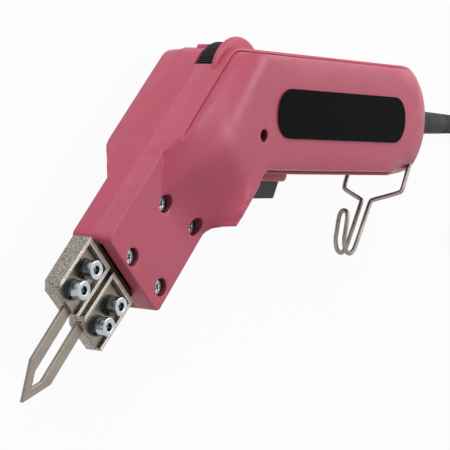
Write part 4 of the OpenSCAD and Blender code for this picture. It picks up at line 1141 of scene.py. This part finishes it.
# Hanging hook, one bent wire: points of a half as shares of its reach and of its half width
HOOK_REACH, HOOK_HALF, HOOK_WIRE = 44.2, 15.1, 1.0
HOOK_SHARES = [(-0.06, -0.127, 1), (-0.13, -0.276, 1), (-0.168, -0.357, 0.985), (-0.188, -0.384, 0.9),
               (-0.235, -0.428, 0.55), (-0.276, -0.465, 0.24), (-0.291, -0.486, 0.16),
               (-0.33, -0.555, 0.148), (-0.532, -0.912, 0.145), (-0.588, -0.977, 0.145),
               (-0.652, -1, 0.145), (-0.724, -0.964, 0.145), (-0.758, -0.871, 0.145),
               (-0.742, -0.77, 0.145), (-0.719, -0.656, 0.142), (-0.708, -0.6, 0.11),
               (-0.704, -0.577, 0.045)]
# Its ends turn outwards into the shells: places from the axis, and heights
HOOK_ENDS = [(0, 0, 16.7), (0, 0, 16.1), (-0.12, -0.25, 15.4)]


def wire_hook():
    x, y = HOOK
    half = [(x + a, y + b, z) for a, b, z in HOOK_ENDS]
    half += [(x + a * HOOK_REACH, y + b * HOOK_REACH, c * HOOK_HALF) for a, b, c in HOOK_SHARES]
    wire = half + [(x, y, -z) for x, y, z in reversed(half)]
    return sweep(catmull(wire, 6), circle(HOOK_WIRE, 14))


hook = new_piece("wire_hook", *wire_hook(), "nickel_wire", "hook", 50)
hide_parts("hanging_hook")

# Strain relief: radii and places along x of its flange, neck, collar and end
RELIEF_BORE = 3.45
RELIEF_FLANGE = [(RELIEF_BORE, 148.0), (7.4, 148.0), (7.4, 150.6), (4.8, 150.7), (4.8, 155.3)]
RELIEF_COLLAR = [(5.4, 155.35), (5.9, 155.8), (5.95, 157.4), (5.75, 158.2), (5.5, 166.0), (5.22, 175.0)]
RELIEF_TIP = [(4.25, 208.6), (4.1, 209.6), (3.9, 210.0), (RELIEF_BORE, 210.0)]
RELIEF_WIDE, RELIEF_NARROWS, RELIEF_LONG = 5.95, 1.75, 55
# Grooves in its taper: where they start, and the depths and places of one's points
RELIEF_GROOVES = [191 + 5.4 * k for k in range(3)]
RELIEF_GROOVE = [(0, 0), (0.35, 0.35), (0.4, 1.3), (0.1, 1.7)]


def tapered_relief():
    profile = RELIEF_FLANGE + RELIEF_COLLAR
    for x in RELIEF_GROOVES:
        r = RELIEF_WIDE - RELIEF_NARROWS * (x - HANDLE_END) / RELIEF_LONG
        profile += [(r - depth, x + place) for depth, place in RELIEF_GROOVE]
    return lathe(profile + RELIEF_TIP, 48, (0, 0, 0), "x")


relief = new_piece("tapered_relief", *tapered_relief(), "grey_rubber", "body", 40)
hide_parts("strain_relief")

# Trigger spring, a coil of wire that keeps one shape
SPRING_WIRE, SPRING_TURNS, SPRING_STEPS = 0.35, 3, 32


def trigger_coil():
    low, high = solid_box("trigger_spring")
    mid, length = (low + high) / 2, high[1] - low[1]
    radius = (high[2] - low[2]) / 2 - SPRING_WIRE
    count = SPRING_TURNS * SPRING_STEPS
    path = []
    for k in range(count + 1):
        a = 2 * math.pi * k / SPRING_STEPS
        y = low[1] + SPRING_WIRE + (length - 2 * SPRING_WIRE) * k / count
        path.append((mid[0] + radius * math.cos(a), y, mid[2] + radius * math.sin(a)))
    coil = new_piece("trigger_coil", *sweep(path, circle(SPRING_WIRE, 10)), "bare_steel", angle=60)
    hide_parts("trigger_spring")
    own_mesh(coil)


trigger_coil()

# Clamp screws along and across the head, and the radii and heights of a dark liner in a socket, which is
# painted shade
CLAMP_ALONG, CLAMP_ACROSS = (90.62, 100.22), (-10.2, 10.2)
SHADE_LINER_RINGS = ((1.67, 6.85), (1.66, 5.07), (0.5, 5.04))


# Dark liners in the sockets of the clamp screws, open at the top: a dark sheet where there is only shade,
# painted shade
def socket_shade_liners():
    points, faces = [], []
    turns = [BEND + k * math.pi / 3 for k in range(6)]
    for s in CLAMP_ALONG:
        for u in CLAMP_ACROSS:
            x, y = at_head(s, u)
            rings = [[(x + r * math.cos(a), y + r * math.sin(a), z) for a in turns] for r, z in SHADE_LINER_RINGS]
            ring_points, (*sides, _, bottom) = loft(rings)
            faces += [tuple(i + len(points) for i in face) for face in (*sides, bottom)]
            points += ring_points
    return points, faces


# The dark liners paint the shade in the screws' sockets
new_piece("socket_shade_liners", *socket_shade_liners(), "dark_steel")


# Points closer than this are one, and faces flatter than this angle are one before a bevel
WELD_GAP, FLAT_ANGLE = 0.002, math.radians(1.5)
BEVEL_ANGLE, BEVEL_SEGMENTS = math.radians(30), 2


# Every other solid keeps its shape, with small bevels and its own material
def finish_node(name, slot, bevel):
    solid = nodes[name]
    solid.data.materials.clear()
    solid.data.materials.append(looks[slot].material)
    if not bevel:
        return
    weld = solid.modifiers.new("weld", "WELD")
    weld.merge_threshold = WELD_GAP * MM
    flat = solid.modifiers.new("flat", "DECIMATE")
    flat.decimate_type = "DISSOLVE"
    flat.angle_limit = FLAT_ANGLE
    edge = solid.modifiers.new("edge", "BEVEL")
    edge.width = bevel * MM
    edge.segments = BEVEL_SEGMENTS
    edge.limit_method = "ANGLE"
    edge.angle_limit = BEVEL_ANGLE
    normals = solid.modifiers.new("normals", "WEIGHTED_NORMAL")
    normals.keep_sharp = True


# Material slot and bevel of each solid
FINISHES = {
    "name_plate": ("label_black", 0.08),
    "shell_screws": ("zinc_steel", 0.18),
    "small_screw": ("dark_steel", 0.15),
    "dial_shaft": ("black_plastic", 0.2),
    "potentiometer": ("bare_steel", 0.2),
    "trigger": ("black_plastic", 0.7),
    "trigger_switch": ("dark_plastic", 0.3),
    "control_board": ("board_green", 0.1),
    "heat_sink": ("bare_aluminium", 0.1),
    "triac": ("dark_plastic", 0.2),
    "capacitor": ("capacitor_blue", 0.4),
    "choke": ("choke_yellow", 0.5),
    "snubber": ("capacitor_red", 0.4),
    "transformer_core": ("core_steel", 0.1),
    "bobbin": ("ivory_plastic", 0.2),
    "primary_winding": ("winding_wire", 0.4),
    "secondary_strap": ("copper", 0.2),
    "front_conductor": ("copper", 0.2),
    "back_conductor": ("copper", 0.2),
    "nose_insulator": ("insulator_board", 0.15),
    "front_blade_holder": ("nickel_casting", 0.3),
    "back_blade_holder": ("nickel_casting", 0.3),
    "front_clamp_plate": ("nickel_plate", 0.2),
    "back_clamp_plate": ("nickel_plate", 0.2),
    "clamp_screws": ("zinc_steel", 0.35),
    "flat_washers": ("dark_steel", 0.12),
    "spring_washers": ("dark_steel", 0.15),
    "hot_blade": ("blade_alloy", 0.2),
    "cord_inner": ("black_rubber", 0),
    "cord_clamp": ("ivory_plastic", 0.3),
    "cord_clamp_screws": ("zinc_steel", 0.15),
    "supply_leads": ("blue_lead", 0),
    "coil_leads": ("red_lead", 0),
    "plug_pins": ("pin_nickel", 0.9)}
for name, (slot, bevel) in FINISHES.items():
    finish_node(name, slot, bevel)
